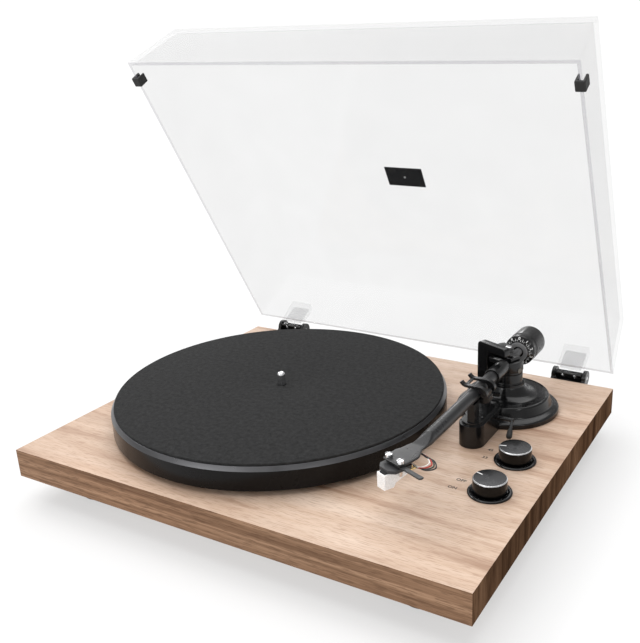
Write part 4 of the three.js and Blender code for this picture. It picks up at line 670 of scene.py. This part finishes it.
spindle = turned("spindle_post", [
    (0, 0), (SPINDLE_R, 0, 0.3), (SPINDLE_R, spindle_tall - 2.6, 1.0),
    (SPINDLE_R * 0.86, spindle_tall - 1.1, 0.8), (SPINDLE_R * 0.45, spindle_tall - 0.2, 0.6),
    (0, spindle_tall),
], spindle_place, 64)
settle(spindle, "platter", "steel", bright_steel, "spindle")
print("platter radius", PLATTER_R, "mat", MAT_R, "spindle", SPINDLE_R)

# %% [markdown]
# A control knob is turned metal: a spun top with fine rings, a bright cut chamfer and a black side.
# It stands in a glossy dish. The white pointer is a thin inlay that runs out over the chamfer.

# %% control knobs
KNOB_TALL, CHAMFER = 10.4, 0.7


def knob(control):
    """The knob and the dish that it stands in. Gives the knob's place, radius and height."""
    node, bezel = control + "_knob", control + "_bezel"
    place, radius, tall = measured(node)
    under = tall - KNOB_TALL
    spun = metal(node + "_top", (0.058, 0.058, 0.06), 0.27, centre(node), 1500.0, 0.8, 2e-6)
    body = turned(node + "_body", [
        (0, 0), (3, 0, 0.3), (3, under), (radius - 0.6, under, 0.3), (radius, under + 0.8, 0.4),
        (radius, tall - CHAMFER, 0.12), (radius - CHAMFER, tall, 0.12), (0, tall),
    ], place, 192)
    settle(body, control + "_control", "dark_metal", [spun, cut_steel, knob_side], node)
    middles, normals = face_centres(body)
    high = middles[:, 2] > corners(node)[1][2] - 0.0015
    cut_edge = (normals[:, 2] > 0.35) & (normals[:, 2] < 0.97) & high
    paint_faces(body, np.select([normals[:, 2] >= 0.97, cut_edge], [0, 1], 2))
    bezel_place, bezel_r, rise = measured(bezel)
    dish = turned(control + "_dish", [
        (3.3, 0), (bezel_r, 0, 0.2), (bezel_r, rise * 0.6, 0.4), (bezel_r - 0.9, rise, 0.4),
        (bezel_r - 2.2, rise, 0.5), (bezel_r - 3.4, rise * 0.5, 0.6), (3.3, rise * 0.5, 0.1),
    ], bezel_place, 160, closed=True)
    settle(dish, "base", "gloss_black", gloss_black, bezel)
    return place, radius, tall


def pointer(control, place, radius, tall, degrees):
    """A white line inlaid across the knob's top and down its chamfer, following both slopes."""
    across = np.array([-0.55, -0.5, 0.5, 0.55])
    lift = np.array([-0.2, 0.03, 0.03, -0.2])
    out = np.array([7.0, 7.05, radius - CHAMFER, radius - 0.02])
    fall = np.array([-0.2, 0.0, 0.0, -0.68])
    a, b = np.meshgrid(out, across, indexing="ij")
    z = tall + fall[:, None] + lift[None, :]
    points = np.stack([a, b, z], -1).reshape(-1, 3)
    faces = grid_faces(4, 4, close_columns=False).tolist()
    faces.append([0, 1, 2, 3, 7, 11, 15, 14, 13, 12, 8, 4])
    line = make_mesh(control + "_pointer", laid(points, swung(place, "Z", degrees)), faces)
    settle(line, control + "_control", "white_plastic", ink_white)


for control, degrees in (("speed", 194), ("start", 164)):
    pointer(control, *knob(control), degrees)


# %% [markdown]
# The scale beside each knob is printed. Printed figures are text turned to mesh and given a film's
# thickness, laid a hair above the veneer. Only plain figures and words are used.

# %% printed figures
FILM = 0.02


def printed(name, words, place, size, material, body, slot):
    """Text lying in the place's XY plane, centred, as a mesh with a film's thickness."""
    curve = bpy.data.curves.new(name, "FONT")
    curve.body, curve.size, curve.extrude = words, size * MM, FILM * MM
    curve.align_x, curve.align_y, curve.resolution_u = "CENTER", "CENTER", 3
    curve.offset = 0.02 * size * MM
    text = bpy.data.objects.new(name, curve)
    bpy.context.scene.collection.objects.link(text)
    bpy.context.view_layer.update()
    mesh = bpy.data.meshes.new_from_object(text)
    bpy.data.objects.remove(text)
    points = np.zeros(len(mesh.vertices) * 3)
    mesh.vertices.foreach_get("co", points)
    faces = [list(face.vertices) for face in mesh.polygons]
    bpy.data.meshes.remove(mesh)
    figure = make_mesh(name, laid(points.reshape(-1, 3) / MM, place), faces, crisp=20)
    return settle(figure, body, slot, material)


for name, words, x, y in (
    ("speed_45", "45", 151.0, 176.5), ("speed_33", "33", 151.5, 163.0),
    ("start_off", "OFF", 149.0, 121.5), ("start_on", "ON", 147.0, 109.0),
):
    printed(name, words, shifted(board, x, y, PLINTH_TOP + 0.03), 4.8, ink_dark, "base", "black_plastic")
print("knobs and figures made")

# %% [markdown]
# The tonearm stands on a moulded base: a flange, a sloped wall, a dished top and a neck that flares
# into the dish. Being turned, it is one profile; the long fillets give it the soft bright
# reflections that show how smooth the moulding is.

# %% tonearm base and pillar
place, BASE_R, tall = measured("arm_base")
arm_base = turned("arm_foot", [
    (6.3, 0), (BASE_R, 0, 0.3), (BASE_R, 4.2, 0.9), (BASE_R - 1.8, 5.4, 0.8), (BASE_R - 6.2, 6.7, 1.2),
    (BASE_R - 9.1, 14.9, 0.8), (BASE_R - 10.1, 15.9, 0.8), (BASE_R - 11.6, 15.4, 1.0), (25.5, 15.3, 2.5),
    (19.2, 18.1, 3.0), (15.9, 22.5, 2.5), (14.5, 24.6, 1.2), (14.5, tall, 0.4), (6.3, tall, 0.1),
], place, 224, closed=True, steps=6)
settle(arm_base, "base", "black_plastic", satin_black, "arm_base")

place, post_r, tall = measured("arm_pillar")
stub = (corners("arm_base")[1][2] + 0.0001 - corners("arm_pillar")[0][2]) / MM
pillar = turned("arm_post", [
    (0, 0), (6, 0, 0.4), (6, stub), (post_r + 0.5, stub, 0.2), (post_r + 0.5, stub + 0.9, 0.3),
    (post_r, stub + 1.3, 0.2), (post_r, tall, 0.3), (3.1, tall, 0.2), (3.1, tall - 12), (0, tall - 12),
], place, 128)
settle(pillar, "base", "black_metal", satin_black, "arm_pillar")
print("arm base radius", round(BASE_R, 2), "pillar radius", round(post_r, 2))

# %% [markdown]
# The gimbal turns on the pillar. Its housing is a drum with a slot through it for the arm, its bridge
# closes the slot above, and a short arm holds the square frame in front. The drum's two cheeks are
# plates whose outline is a slice of a circle, so that together they read as one round post.

# %% gimbal
YOKE_TOP = from_pivot("bearing_yoke")[1][2]
disc_low = from_pivot("arm_pillar")[1][2] + 0.3
DRUM_R, SLOT, BRIDGE_R = 13.4, 9.4, 4.6
yoke_disc = turned("yoke_disc", [
    (0, disc_low - 9), (3, disc_low - 9, 0.3), (3, disc_low), (DRUM_R - 0.4, disc_low, 0.3),
    (DRUM_R - 0.4, disc_low + 2, 0.2), (0, disc_low + 2),
], gimbal, 128)
settle(yoke_disc, "yoke", "black_metal", satin_black, "bearing_yoke")


def arc(radius, start, end, count, flip=1):
    """Points of a circle from one angle in degrees to another."""
    angle = np.radians(np.linspace(start, end, count))
    return np.stack([flip * radius * np.cos(angle), radius * np.sin(angle)], -1)


def yoke_plate(name, outline, low, high, place=gimbal, edge=0.6, steps=3, *nodes):
    """A flat part of the yoke."""
    settle(plate(name, outline, low, high, place, edge, steps), "yoke", "black_metal", satin_black, *nodes)


slice_end = math.degrees(math.acos(SLOT / DRUM_R))
for name, flip, top in (("left", -1, YOKE_TOP - 4.02), ("right", 1, 2.8)):
    outline = arc(DRUM_R, -slice_end, slice_end, 40, flip)
    yoke_plate("yoke_cheek_" + name, outline, disc_low + 2.02, top, edge=0.3)
bridge_outline = np.concatenate([arc(DRUM_R, 149, 211, 24), arc(BRIDGE_R, -90, 90, 32)])
yoke_plate("yoke_bridge", bridge_outline, YOKE_TOP - 4, YOKE_TOP)
bracket = rectangle(-DRUM_R + 0.4, -SLOT - 0.1, -13.1, -4, 0.6)
yoke_plate("yoke_bracket", bracket, disc_low + 2, YOKE_TOP - 0.2, edge=0.4)

FRAME_LOW, FRAME_TOP = (corner[2] for corner in from_pivot("gimbal_frame"))
HALF, POST, BAR_LOW, BAR_END = 18.8, -6.8, 12.6, 14.0
frame_outline = rounded([
    (-HALF, FRAME_LOW, 3.6), (POST, FRAME_LOW, 1.2), (POST, BAR_LOW, 1.6), (BAR_END, BAR_LOW, 1.4),
    (BAR_END, FRAME_TOP, 4.4), (-HALF, FRAME_TOP, 4.4),
], True, 8)
yoke_plate("gimbal_square", frame_outline, 13.4, 20.4, swung(gimbal, "X", 90), 0.7, 4, "gimbal_frame")
screw_height = (centre("bearing_screw")[2] - pivot.translation.z) / MM
bearing_side = shifted(swung(shifted(gimbal, 0, 0, screw_height), "Y", 90), 0, 0, DRUM_R - 0.3)
screw("yoke_bearing_screw", bearing_side, 2.2, 1.0, 1.4, False, "yoke", worn_steel, "bearing_screw")
cap = shifted(gimbal, 0, 0, YOKE_TOP + 0.1)
screw("pivot_cap_screw", cap, 2.7, 1.0, 1.5, False, "yoke", bright_steel, "pivot_screw")
print("gimbal top", round(YOKE_TOP, 2), "frame", round(FRAME_LOW, 2), round(FRAME_TOP, 2))

# %% [markdown]
# The arm itself is a straight tube in a collar. Behind the pivot a threaded stub carries the weight.
# All three are turned about the arm's own line, so they share a place whose Z points to the rear.

# %% arm tube, collar and stub
along_arm = swung(pivot, "X", -90)
TUBE_R = measured("arm_tube")[1]
tube_front, tube_rear = (corner[1] for corner in from_pivot("arm_tube"))
tube = turned("arm_rod", [
    (TUBE_R - 0.8, tube_front), (TUBE_R, tube_front, 0.1), (TUBE_R, tube_rear, 0.2),
    (TUBE_R - 0.8, tube_rear),
], along_arm, 96, closed=True)
settle(tube, "arm", "black_metal", tube_black, "arm_tube")
COLLAR_R = TUBE_R + 1.6
collar = turned("arm_collar", [
    (0, -39.6), (TUBE_R + 0.3, -39.6), (TUBE_R + 0.3, -40.0, 0.1), (COLLAR_R, -40.0, 0.6),
    (COLLAR_R, -14.4, 0.6), (4.4, -14.4, 0.3), (4.4, 0), (0, 0),
], along_arm, 96)
settle(collar, "arm", "black_metal", satin_black, "arm_hub")
for name, outline, low, high, edge in (
    ("arm_bearing_block", rectangle(-8.9, 8.9, -6, 6, 1.2), -4.4, 6, 0.6),
    ("arm_wing", rectangle(-6.4, 6.0, -19.4, -14.4, 0.8), 3.6, 7.8, 0.5),
):
    settle(plate(name, outline, low, high, gimbal, edge), "arm", "black_metal", satin_black)
for name, side in (("left", -1), ("right", 1)):
    line = [(side * x, 0, 0) for x in (8.5, 10, 12.6)]
    settle(drawn("arm_pivot_pin_" + name, line, 1.5, gimbal, 24), "arm", "steel", bright_steel)
weight_front, weight_rear = (corner[1] for corner in from_pivot("counterweight"))
WEIGHT_R = measured("counterweight")[1]
stub_end = weight_front + 12
thread_line = [(0, 1), (3.9, 1), (3.9, 8.0, 0.2), (3.5, 8.4, 0.1)]
thread_line += [(r, y + d) for y in np.arange(9.0, stub_end - 1.0, 0.5) for r, d in ((3.6, 0.1), (3.3, 0.35))]
thread_line += [(3.6, stub_end - 0.5, 0.2), (3.0, stub_end, 0.2), (0, stub_end)]
settle(turned("arm_thread", thread_line, along_arm, 48), "arm", "black_metal", stub_metal)
print("tube radius", round(TUBE_R, 2), "thread to", round(stub_end, 1))

# %% [markdown]
# The headshell is the tube's own end pressed flat. A lathe or a plate can't make that, so it is a
# loft: at each station along the arm, the left and right edges, the thickness and the squareness of
# the section are given, and every section is a squared circle between them.

# %% headshell
def smooth(values, count):
    """Values given at equal steps, read at count places along a smooth curve through them."""
    values = np.asarray(values, float)
    t = np.linspace(0, len(values) - 1, count)
    i = np.clip(t.astype(int), 0, len(values) - 2)
    f = (t - i).reshape(-1, *([1] * (values.ndim - 1)))
    slope = np.gradient(values, axis=0)
    a, b, m, n = values[i], values[i + 1], slope[i], slope[i + 1]
    return (2*f**3 - 3*f**2 + 1) * a + (f**3 - 2*f**2 + f) * m + (3*f**2 - 2*f**3) * b + (f**3 - f**2) * n


def in_arm(x, y):
    """A point of the cartridge's own plan, carried to the arm's millimetres."""
    spot = pivot.inverted() @ (cartridge @ Vector((x * MM, y * MM, 0)))
    return spot.x / MM, spot.y / MM


front, T = tube_front, TUBE_R
left_edge = [
    (-T, front + 1), (-T, front - 2.5), (-T - 0.1, front - 6), (-T - 0.6, front - 10),
    (-T - 2.0, front - 14.5), (-T - 4.2, front - 19.5), in_arm(-11.1, 15.5), in_arm(-11.6, 9.5),
    in_arm(-10.3, 4.5), in_arm(-9.4, 0.5), in_arm(-8.6, -3.6),
]
right_edge = [
    (T, front + 1), (T, front - 2.5), (T - 0.1, front - 6), (T - 0.7, front - 10),
    (T - 1.3, front - 14.5), (T - 1.7, front - 19.5), (T - 0.6, front - 25), (T + 0.6, front - 31),
    in_arm(9.3, 5.4), in_arm(9.3, 1.4), in_arm(8.4, -3.6),
]
stations, around = 90, 64
PRESS_FROM, PRESS_LONG, NOSE_FROM, NOSE_LONG, FLAT = 0.10, 0.34, 0.965, 0.035, 1.0
left, right_side = smooth(left_edge, stations), smooth(right_edge, stations)
run = np.linspace(0, 1, stations)
press = np.clip((run - PRESS_FROM) / PRESS_LONG, 0, 1)
press = press * press * (3 - 2 * press)
half_thick = (1 - press) * TUBE_R + press * FLAT
middle_z = -press * FLAT
power = 1 - 0.8 * press
nose = np.clip((run - NOSE_FROM) / NOSE_LONG, 0, 1)
half_thick *= np.sqrt(np.maximum(1 - 0.6 * nose**2, 0.05))
section = np.linspace(0, 2 * np.pi, around, endpoint=False)
cos_s, sin_s = np.cos(section), np.sin(section)
reach = np.sign(cos_s) * np.abs(cos_s) ** power[:, None]
rise = np.sign(sin_s) * np.abs(sin_s) ** power[:, None]
mid, half = (left + right_side) / 2, (right_side - left) / 2
points = np.concatenate([
    mid[:, None] + half[:, None] * reach[..., None],
    (middle_z[:, None] + half_thick[:, None] * rise)[..., None],
], -1)
points = laid(points.reshape(-1, 3), pivot)
shell = make_mesh("headshell_plate", points, bar_faces(stations, around), crisp=50)
settle(shell, "arm", "black_metal", tube_black, "headshell")

for side, turn in (("left", 40), ("right", 75)):
    name = "cartridge_screw_" + side
    tall = (plate_top - corners(name)[0][2]) / MM
    place = swung(Matrix.Translation((*centre(name)[:2], float(plate_top))), "Z", turn)
    seat = shifted(place, 0, 0, 0.1)
    screw("cartridge_bolt_head_" + side, seat, 2.8, 2.9, 1.3, False, "arm", bright_steel, name)
    shank = [(0, -tall), (1.1, -tall, 0.3), (1.3, -tall + 0.4), (1.3, -1), (0, -1)]
    settle(turned("cartridge_bolt_" + side, shank, place, 32), "arm", "steel", screw_steel)

softened("cartridge_case", "cartridge_body", 0.35, 3, "arm", "black_plastic", cartridge_grey)
softened("stylus_cover", "stylus_guard", 0.5, 3, "guard", "white_plastic", guard_white)
softened("finger_bar", "finger_lift", 0.3, 2, "arm", "black_metal", shell_grey)
print("headshell", shell.dimensions[:])

# %% [markdown]
# Four hair-thin leads leave the arm behind the headshell, swing out to the right and come back to
# the cartridge's pins. Each is a short cord that goes back into the object, so its length is the
# length of the route. A bright clip is crimped on the end that meets the pin.

# %% cartridge leads
INSULATION = (
    ("lead_white", (0.78, 0.76, 0.72)), ("lead_red", (0.42, 0.03, 0.02)),
    ("lead_green", (0.015, 0.03, 0.022)), ("lead_black", (0.012, 0.012, 0.013)),
)
LEAD_R = 0.55
root_z = -5.2
for number, (k, (cover, colour)) in enumerate(zip((-1.5, -0.5, 0.5, 1.5), INSULATION)):
    pin_x, pin_y = in_arm(3 * k, 10.3)
    swing = 15 + 2 * k
    half_way = (pin_y + tube_front - 18) / 2
    route = np.array([
        (k * 1.5, front - 18, root_z), (5 + k, front - 19 - k, root_z - 0.4),
        (swing - 4, half_way + 4, root_z - 1), (swing, half_way - 2, root_z - 2 - k * 0.4),
        (swing - 5, half_way - 7, root_z - 3), (pin_x + 3.6, pin_y + 3.7, root_z - 4),
        (pin_x, pin_y, root_z - 4.4),
    ])
    path = smooth(route, 60)
    lead = drawn(f"cartridge_lead_{number + 1}", path, LEAD_R, pivot, 14)
    settle(lead, "arm", "rubber", skin(cover, colour, 0.42, grain=2500, depth=1e-5), "cartridge_leads")
    clip = drawn(f"lead_clip_{number + 1}", path[-9:], LEAD_R + 0.22, pivot)
    settle(clip, "arm", "steel", turned_brass)
    points = laid(path, pivot)

# %% [markdown]
# The tracking dial is a cone in front of the weight, printed with white figures and a tick between
# each. Every figure lies square on the cone: its own up runs along the slope, its face looks out
# along the cone's normal, and the third direction is the product of those two.

# %% tracking dial and counterweight
front = from_pivot("tracking_dial")[0][1]
HOLE_R, FACE_R, CONE_R, CONE_LONG = 4.9, 8.8, 9.6, 3.6
WIDE_R, cone_start = WEIGHT_R - 0.2, front + 0.7
dial = turned("force_dial", [
    (4.3, front + 4.0), (HOLE_R, front + 4.0, 0.2), (HOLE_R, front, 0.3), (FACE_R, front, 0.3),
    (CONE_R, cone_start, 0.3), (WIDE_R, cone_start + CONE_LONG, 0.5), (WIDE_R, front + 9.7, 0.2),
    (WEIGHT_R - 0.7, front + 10, 0.2), (4.3, front + 10, 0.1),
], along_arm, 160, closed=True)
dial_grey = skin("dial_grey", (0.27, 0.27, 0.275), 0.35, 0.3, 1800, 8e-6)
settle(dial, "dial", "black_plastic", [satin_black, dial_grey], "tracking_dial")
middles, normals = face_centres(dial)
from_line = np.hypot(middles[:, 0] - pivot.translation.x, middles[:, 2] - pivot.translation.z) / MM
paint_faces(dial, (from_line > HOLE_R) & (from_line < FACE_R + 0.2) & (normals[:, 1] < -0.8))


def on_cone(degrees, radius):
    """A place on the dial's cone at an angle about the arm's line and a distance from it."""
    angle = math.radians(degrees)
    out = np.array([math.cos(angle), 0, math.sin(angle)])
    rear = np.array([0.0, 1.0, 0.0])
    rise = WIDE_R - CONE_R
    slope, face = rise * out + CONE_LONG * rear, CONE_LONG * out - rise * rear
    slope /= np.linalg.norm(slope)
    face /= np.linalg.norm(face)
    along = cone_start + (radius - CONE_R) / rise * CONE_LONG
    axes = np.eye(4)
    axes[:3, 0], axes[:3, 1], axes[:3, 2] = np.cross(slope, face), slope, face
    axes[:3, 3] = np.array(pivot.translation) + (radius * out + along * rear) * MM
    return Matrix(axes.tolist())


for i in range(10):
    spot = shifted(on_cone(90 - 36 * i, 12.2), 0, 0, 0.06)
    printed(f"dial_figure_{i}", str(i), spot, 3.9, ink_white, "dial", "white_plastic")
    for j, size in ((1, 0.7), (2, 1.3), (3, 0.7)):
        spot = on_cone(90 - 36 * i - 9 * j, 10.3 + 0.6 * size)
        outline = rectangle(-0.16, 0.16, -size, size, 0.05, 1)
        tick = plate(f"dial_tick_{i}_{j}", outline, -0.05, 0.05, spot, 0.02, 1)
        settle(tick, "dial", "white_plastic", ink_white)

R, front, rear = WEIGHT_R, weight_front, weight_rear
weight = turned("balance_weight", [
    (4.3, front), (R - 0.3, front, 0.3), (R - 0.3, front + 1.2, 0.2), (R - 0.7, front + 1.4, 0.1),
    (R - 0.7, front + 2.0, 0.1), (R, front + 2.3, 0.2), (R, rear - 1.2, 1.0), (R - 1.4, rear, 0.6),
    (7.0, rear, 0.3), (6.2, rear - 1.0, 0.3), (0, rear - 1.0), (0, stub_end + 7), (4.3, stub_end + 7),
], along_arm, 192, closed=True)
settle(weight, "weight", "black_metal", dark_satin, "counterweight")
outline = rectangle(-0.3, 0.3, front + 3.2, front + 5.4, 0.2, 2)
mark = plate("weight_mark", outline, R - 0.05, R + 0.03, swung(pivot, "Y", -52), 0.02, 1)
settle(mark, "weight", "white_plastic", ink_white)
print("weight from", round(front, 1), "to", round(rear, 1))

# %% [markdown]
# The cueing lift is a moulded oblong beside the base, with the arm's rest standing on it, the clip
# that holds the arm down, the curved platform that raises it and the lever with its rubber grip.

# %% cueing lift, rest, clip and lever
for name, node, width, body, finishes in (
    ("lift_case", "lift_housing", 0.7, "base", satin_black),
    ("rest_post", "arm_rest", 0.4, "base", moulded_black),
    ("arm_clip", "rest_clip", 0.5, "clip", moulded_black),
    ("lift_bar", "lift_platform", 0.4, "lift", moulded_black),
):
    softened(name, node, width, 3, body, "black_plastic", finishes)
SCREW_IN = 0.0135
screw_y, lift_top = float(corners("arm_rest")[0][1]) + SCREW_IN, corners("lift_housing")[1][2]
for name, dx in (("left", -5.4), ("right", 5.4)):
    place = Matrix.Translation((pivot.translation.x + dx * MM, screw_y, lift_top))
    screw("rest_screw_" + name, place, 1.4, 0.7, 0.8, True, "base", satin_black)

LEVER_OUT, LEVER_TURN, LEVER_LEAN = 0.008, 10, 119
lever_place = swung(Matrix.Translation(joints["cue_lever_turn"]["pos_m"]), "Z", LEVER_TURN)
lever_place = Matrix.Translation((LEVER_OUT, 0, 0)) @ swung(lever_place, "X", LEVER_LEAN)
start = (corners("cue_lever")[0][0] - lever_place.translation.x) / MM
shaft = turned("lever_shaft", [(0, start), (1.8, start, 0.3), (1.8, 1.4, 0.5), (0, 1.4)],
               swung(Matrix.Translation(lever_place.translation), "Y", 90), 48)
settle(shaft, "lever", "black_plastic", moulded_black, "cue_lever")
rod = turned("lever_rod", [(0, 0), (1.25, 0), (1.3, 9), (1.5, 10.2, 0.3), (0, 10.2)], lever_place, 48)
settle(rod, "lever", "black_plastic", tube_black)
grip = turned("lever_grip", [
    (0, 9.6), (1.7, 9.6, 0.3), (2.3, 11, 0.6), (2.6, 16.8, 0.9), (1.7, 18.5, 0.9), (0, 18.6),
], lever_place, 48)
settle(grip, "lever", "rubber", rubber)
print("lift and lever made")

# %% [markdown]
# Each hinge is a black moulding screwed to the board's rear, a steel pin and a moving block whose
# tongue stands in a clear sleeve on the lid. The tongue is clear too, so only the block shows black.

# %% hinges
LID_OPEN, HINGE_HALF = 60.6, 12.9
lid_place = swung(hinge_line, "X", -LID_OPEN)
for side in ("left", "right"):
    softened("hinge_mount_" + side, "hinge_bracket_" + side, 0.5, 3, "base", "black_plastic", moulded_black)
    low, high = corners("hinge_pin_" + side)
    x = (low[0] + high[0]) / 2
    half = (high[0] - low[0]) / 2 / MM
    pin_place = swung(Matrix.Translation((x, *hinge_line.translation[1:])), "Y", 90)
    pin = turned("hinge_rod_" + side, [(0, -half), (2, -half, 0.6), (2, half, 0.6), (0, half)], pin_place, 48)
    settle(pin, "base", "steel", screw_steel, "hinge_pin_" + side)
    here = shifted(lid_place, x / MM)
    knuckle = turned("hinge_knuckle_" + side, [
        (0, -HINGE_HALF), (4.3, -HINGE_HALF, 0.5), (4.3, HINGE_HALF, 0.5), (0, HINGE_HALF),
    ], swung(here, "Y", 90), 64)
    settle(knuckle, "lid", "black_plastic", moulded_black, "hinge_leaf_" + side)
    outline = rectangle(-HINGE_HALF, HINGE_HALF, -6.9, -0.6, 1.2)
    settle(plate("hinge_block_" + side, outline, -3.6, 1.3, here, 0.6), "lid", "black_plastic", satin_black)
    outline = rectangle(-10.4, 10.4, 1.7, 24.2, 2.5)
    tongue = plate("hinge_tongue_" + side, outline, 7.4, 8.8, swung(here, "X", 90), 0.3)
    settle(tongue, "lid", "clear_acrylic", clear_block)
    for n, dx in enumerate((-6.0, 6.0)):
        place = swung(shifted(here, dx, -4.4, -3.5), "X", 180)
        screw(f"hinge_screw_{side}_{n + 1}", place, 1.9, 0.9, 0.8, True, "lid", bright_steel)
    outline = rectangle(-13.2, 13.2, -7.3, 2.0, 0.8)
    web = plate("hinge_web_" + side, outline, -7.6, -4.6, shifted(hinge_line, x / MM), 0.4)
    settle(web, "base", "black_plastic", moulded_black)
    for n, dx in enumerate((-9.0, 9.0)):
        place = Matrix.Translation((x + dx * MM, plinth_high[1] + 0.0027, plinth_low[2] + 0.0125))
        screw(f"mount_screw_{side}_{n + 1}", swung(place, "X", -90), 2.6, 1.1, 1.3, True, "base", screw_steel)
    softened("lid_socket_" + side, "lid_sleeve_" + side, 0.8, 3, "lid", "clear_acrylic", clear_block)
print("hinges made, with the lid open by", LID_OPEN, "degrees")

# %% [markdown]
# The lid is five sheets of acrylic as one solid with a polished edge. Its bumpers are rubber clips
# astride the rim, and the badge is a plain black plate, left bare but for its small pin.

# %% lid, bumpers and badge
NARROW = 0.006
lid = softened("clear_lid", "lid", 0.5, 3, "lid", "clear_acrylic", [clear_acrylic, clear_edge])
areas = np.zeros(len(lid.data.polygons))
lid.data.polygons.foreach_get("area", areas)
paint_faces(lid, areas < NARROW)
print("lid faces", len(areas), "narrow", int((areas < NARROW).sum()))
for side in ("left", "right"):
    softened("rubber_bumper_" + side, "bumper_" + side, 0.7, 3, "lid", "rubber", rubber)
softened("bare_badge", "lid_badge", 0.25, 3, "lid", "gloss_black", gloss_black)
to_lid = np.array(lid_place.inverted())
badge = np.array([v.co for v in frame["nodes"]["lid_badge"].data.vertices]) @ to_lid[:3, :3].T + to_lid[:3, 3]
badge_x, badge_y, _ = badge.mean(0) / MM
pin_place = swung(shifted(lid_place, badge_x, badge_y, badge[:, 2].min() / MM), "X", 180)
pin = turned("badge_pin", [(0, 0), (0.9, 0), (0.9, 0.2, 0.1), (0, 0.35)], pin_place, 32)
settle(pin, "lid", "white_plastic", ink_white)
print("badge at", round(badge_x, 1), round(badge_y, 1))

# %% [markdown]
# At the rear, the plate carries two phono sockets with their coloured rings, the ground screw and
# the power inlet. Sockets are turned, with the hole down their middle part of the profile.

# %% rear sockets
rear_face = corners("socket_plate")[1][1]
softened("rear_panel", "socket_plate", 0.3, 2, "base", "black_plastic", moulded_black)


def rear_part(name, node, outline, slot, finishes, *nodes, sides=96, closed=False):
    """A part turned about a line through a node's middle, with Z to the rear from the panel's face."""
    x, _, z = centre(node)
    place = swung(Matrix.Translation((x, rear_face, z)), "X", -90)
    settle(turned(name, outline, place, sides, closed=closed), "base", slot, finishes, *nodes)


for node, ring in (("phono_socket_left", ink_white), ("phono_socket_right", red_ring)):
    back = (corners(node)[0][1] - rear_face) / MM
    rear_part(node + "_barrel", node, [
        (0, back), (4.3, back, 0.3), (4.3, 0.3), (5.2, 0.3, 0.2), (5.2, 2.2, 0.3), (4.1, 2.4),
        (4.1, 8.9, 0.3), (3.4, 8.9, 0.1), (3.3, 4.2), (1.6, 4.2), (1.6, 3.0), (0, 3.0),
    ], "brass", turned_brass, node)
    rear_part(node + "_ring", node, [(4.3, 2.3), (6.2, 2.3, 0.3), (6.2, 3.6, 0.4), (4.3, 3.6, 0.1)],
              "white_plastic", ring, closed=True)
rear_part("ground_post", "ground_terminal", [
    (0, -3), (2, -3), (2, 0.4), (4.3, 0.4, 0.3), (4.3, 5, 0.4), (3.5, 6, 0.3), (1.2, 6, 0.1), (1.0, 5.2),
    (0, 5.2),
], "steel", bright_steel, "ground_terminal", sides=72)
back = (corners("power_inlet")[0][1] - rear_face) / MM
rear_part("inlet_barrel", "power_inlet", [
    (0, back), (5, back, 0.3), (5, 0.4, 0.3), (3.2, 0.4, 0.2), (3.2, -8.8), (0, -8.8),
], "black_plastic", moulded_black, "power_inlet")
rear_part("inlet_pin", "power_inlet", [(0, -8.8), (1, -8.8), (1, -2, 0.4), (0, -1.7)], "steel",
          bright_steel, sides=32)
print("rear sockets made")

# %% [markdown]
# The parts inside the plinth and under the platter keep the shapes that the CAD gives them, and take
# only a finish.

# %% the parts inside keep their CAD shapes
inner_finish = {
    "main_bearing": turned_brass, "motor": motor_steel, "motor_pulley": turned_brass, "drive_belt": rubber,
    "circuit_board": board_green, "speed_switch": moulded_black, "start_switch": moulded_black,
    "sub_platter": moulded_black,
}
for name, node in frame["nodes"].items():
    if not node.hide_render:
        node.material_slots[0].material = inner_finish[name]
        print("carried over", name)

# %% [markdown]
# The stage is a white light table, a pale sky and soft light. The table glows a little by itself, so
# that shadows on it stay short and pale. The key is a wide sun, because a sun lights the whole floor
# evenly, so the floor has no bright pool in it. It stands high, behind and to the left: the top is
# the brightest side, the front is softer, and a short shadow falls to the front right. The sky is
# brightest at the horizon, where the floor meets it.

# %% stage
SKY, HORIZON, FLOOR_HALF = 0.44, 1.04, 150.0
for name, towards, strength, spread in (
    ("key", (-0.30, 0.30, 1.0), 2.9, 80), ("glint_left", (-0.80, 0.25, 0.85), 0.45, 14),
    ("front_fill", (-0.25, -1.0, 0.55), 0.6, 50), ("glint_right", (0.75, -0.55, 0.50), 0.20, 7),
    ("glint_front", (-0.30, -0.95, 0.42), 0.22, 7), ("glint_back", (-0.47, 0.82, 0.33), 0.25, 12),
):
    light = bpy.data.lights.new(name, "SUN")
    light.energy, light.angle = strength, math.radians(spread)
    lamp = bpy.data.objects.new(name, light)
    bpy.context.scene.collection.objects.link(lamp)
    lamp.rotation_euler = Vector(towards).to_track_quat("Z", "Y").to_euler()
world = bpy.data.worlds.new("pale_sky")
bpy.context.scene.world = world
world.use_nodes = True
sky = world.node_tree
direction = sky.nodes.new("ShaderNodeTexCoord").outputs["Generated"]
height = sky.nodes.new("ShaderNodeSeparateXYZ")
sky.links.new(direction, height.inputs[0])
glow = sky.nodes.new("ShaderNodeMapRange")
sky.links.new(height.outputs["Z"], glow.inputs["Value"])
for key, value in (("From Min", 0.06), ("From Max", 0.22), ("To Min", HORIZON), ("To Max", SKY)):
    glow.inputs[key].default_value = value
sky.links.new(glow.outputs["Result"], sky.nodes["Background"].inputs["Strength"])
sky.nodes["Background"].inputs["Color"].default_value = (1, 1, 1, 1)
floor_finish, _ = finish("floor", (0.35, 0.35, 0.35), 1.0, Specular_IOR_Level=0.0,
                         Emission_Color=(1, 1, 1, 1), Emission_Strength=0.53)
corner = np.array([(-1, -1), (1, -1), (1, 1), (-1, 1)]) * FLOOR_HALF
floor = make_mesh("floor", np.column_stack([corner, np.zeros(4)]), [[0, 1, 2, 3]])
floor.data.materials.append(floor_finish)
bpy.context.scene.view_settings.view_transform = "Standard"
print("suns", len(bpy.data.lights))
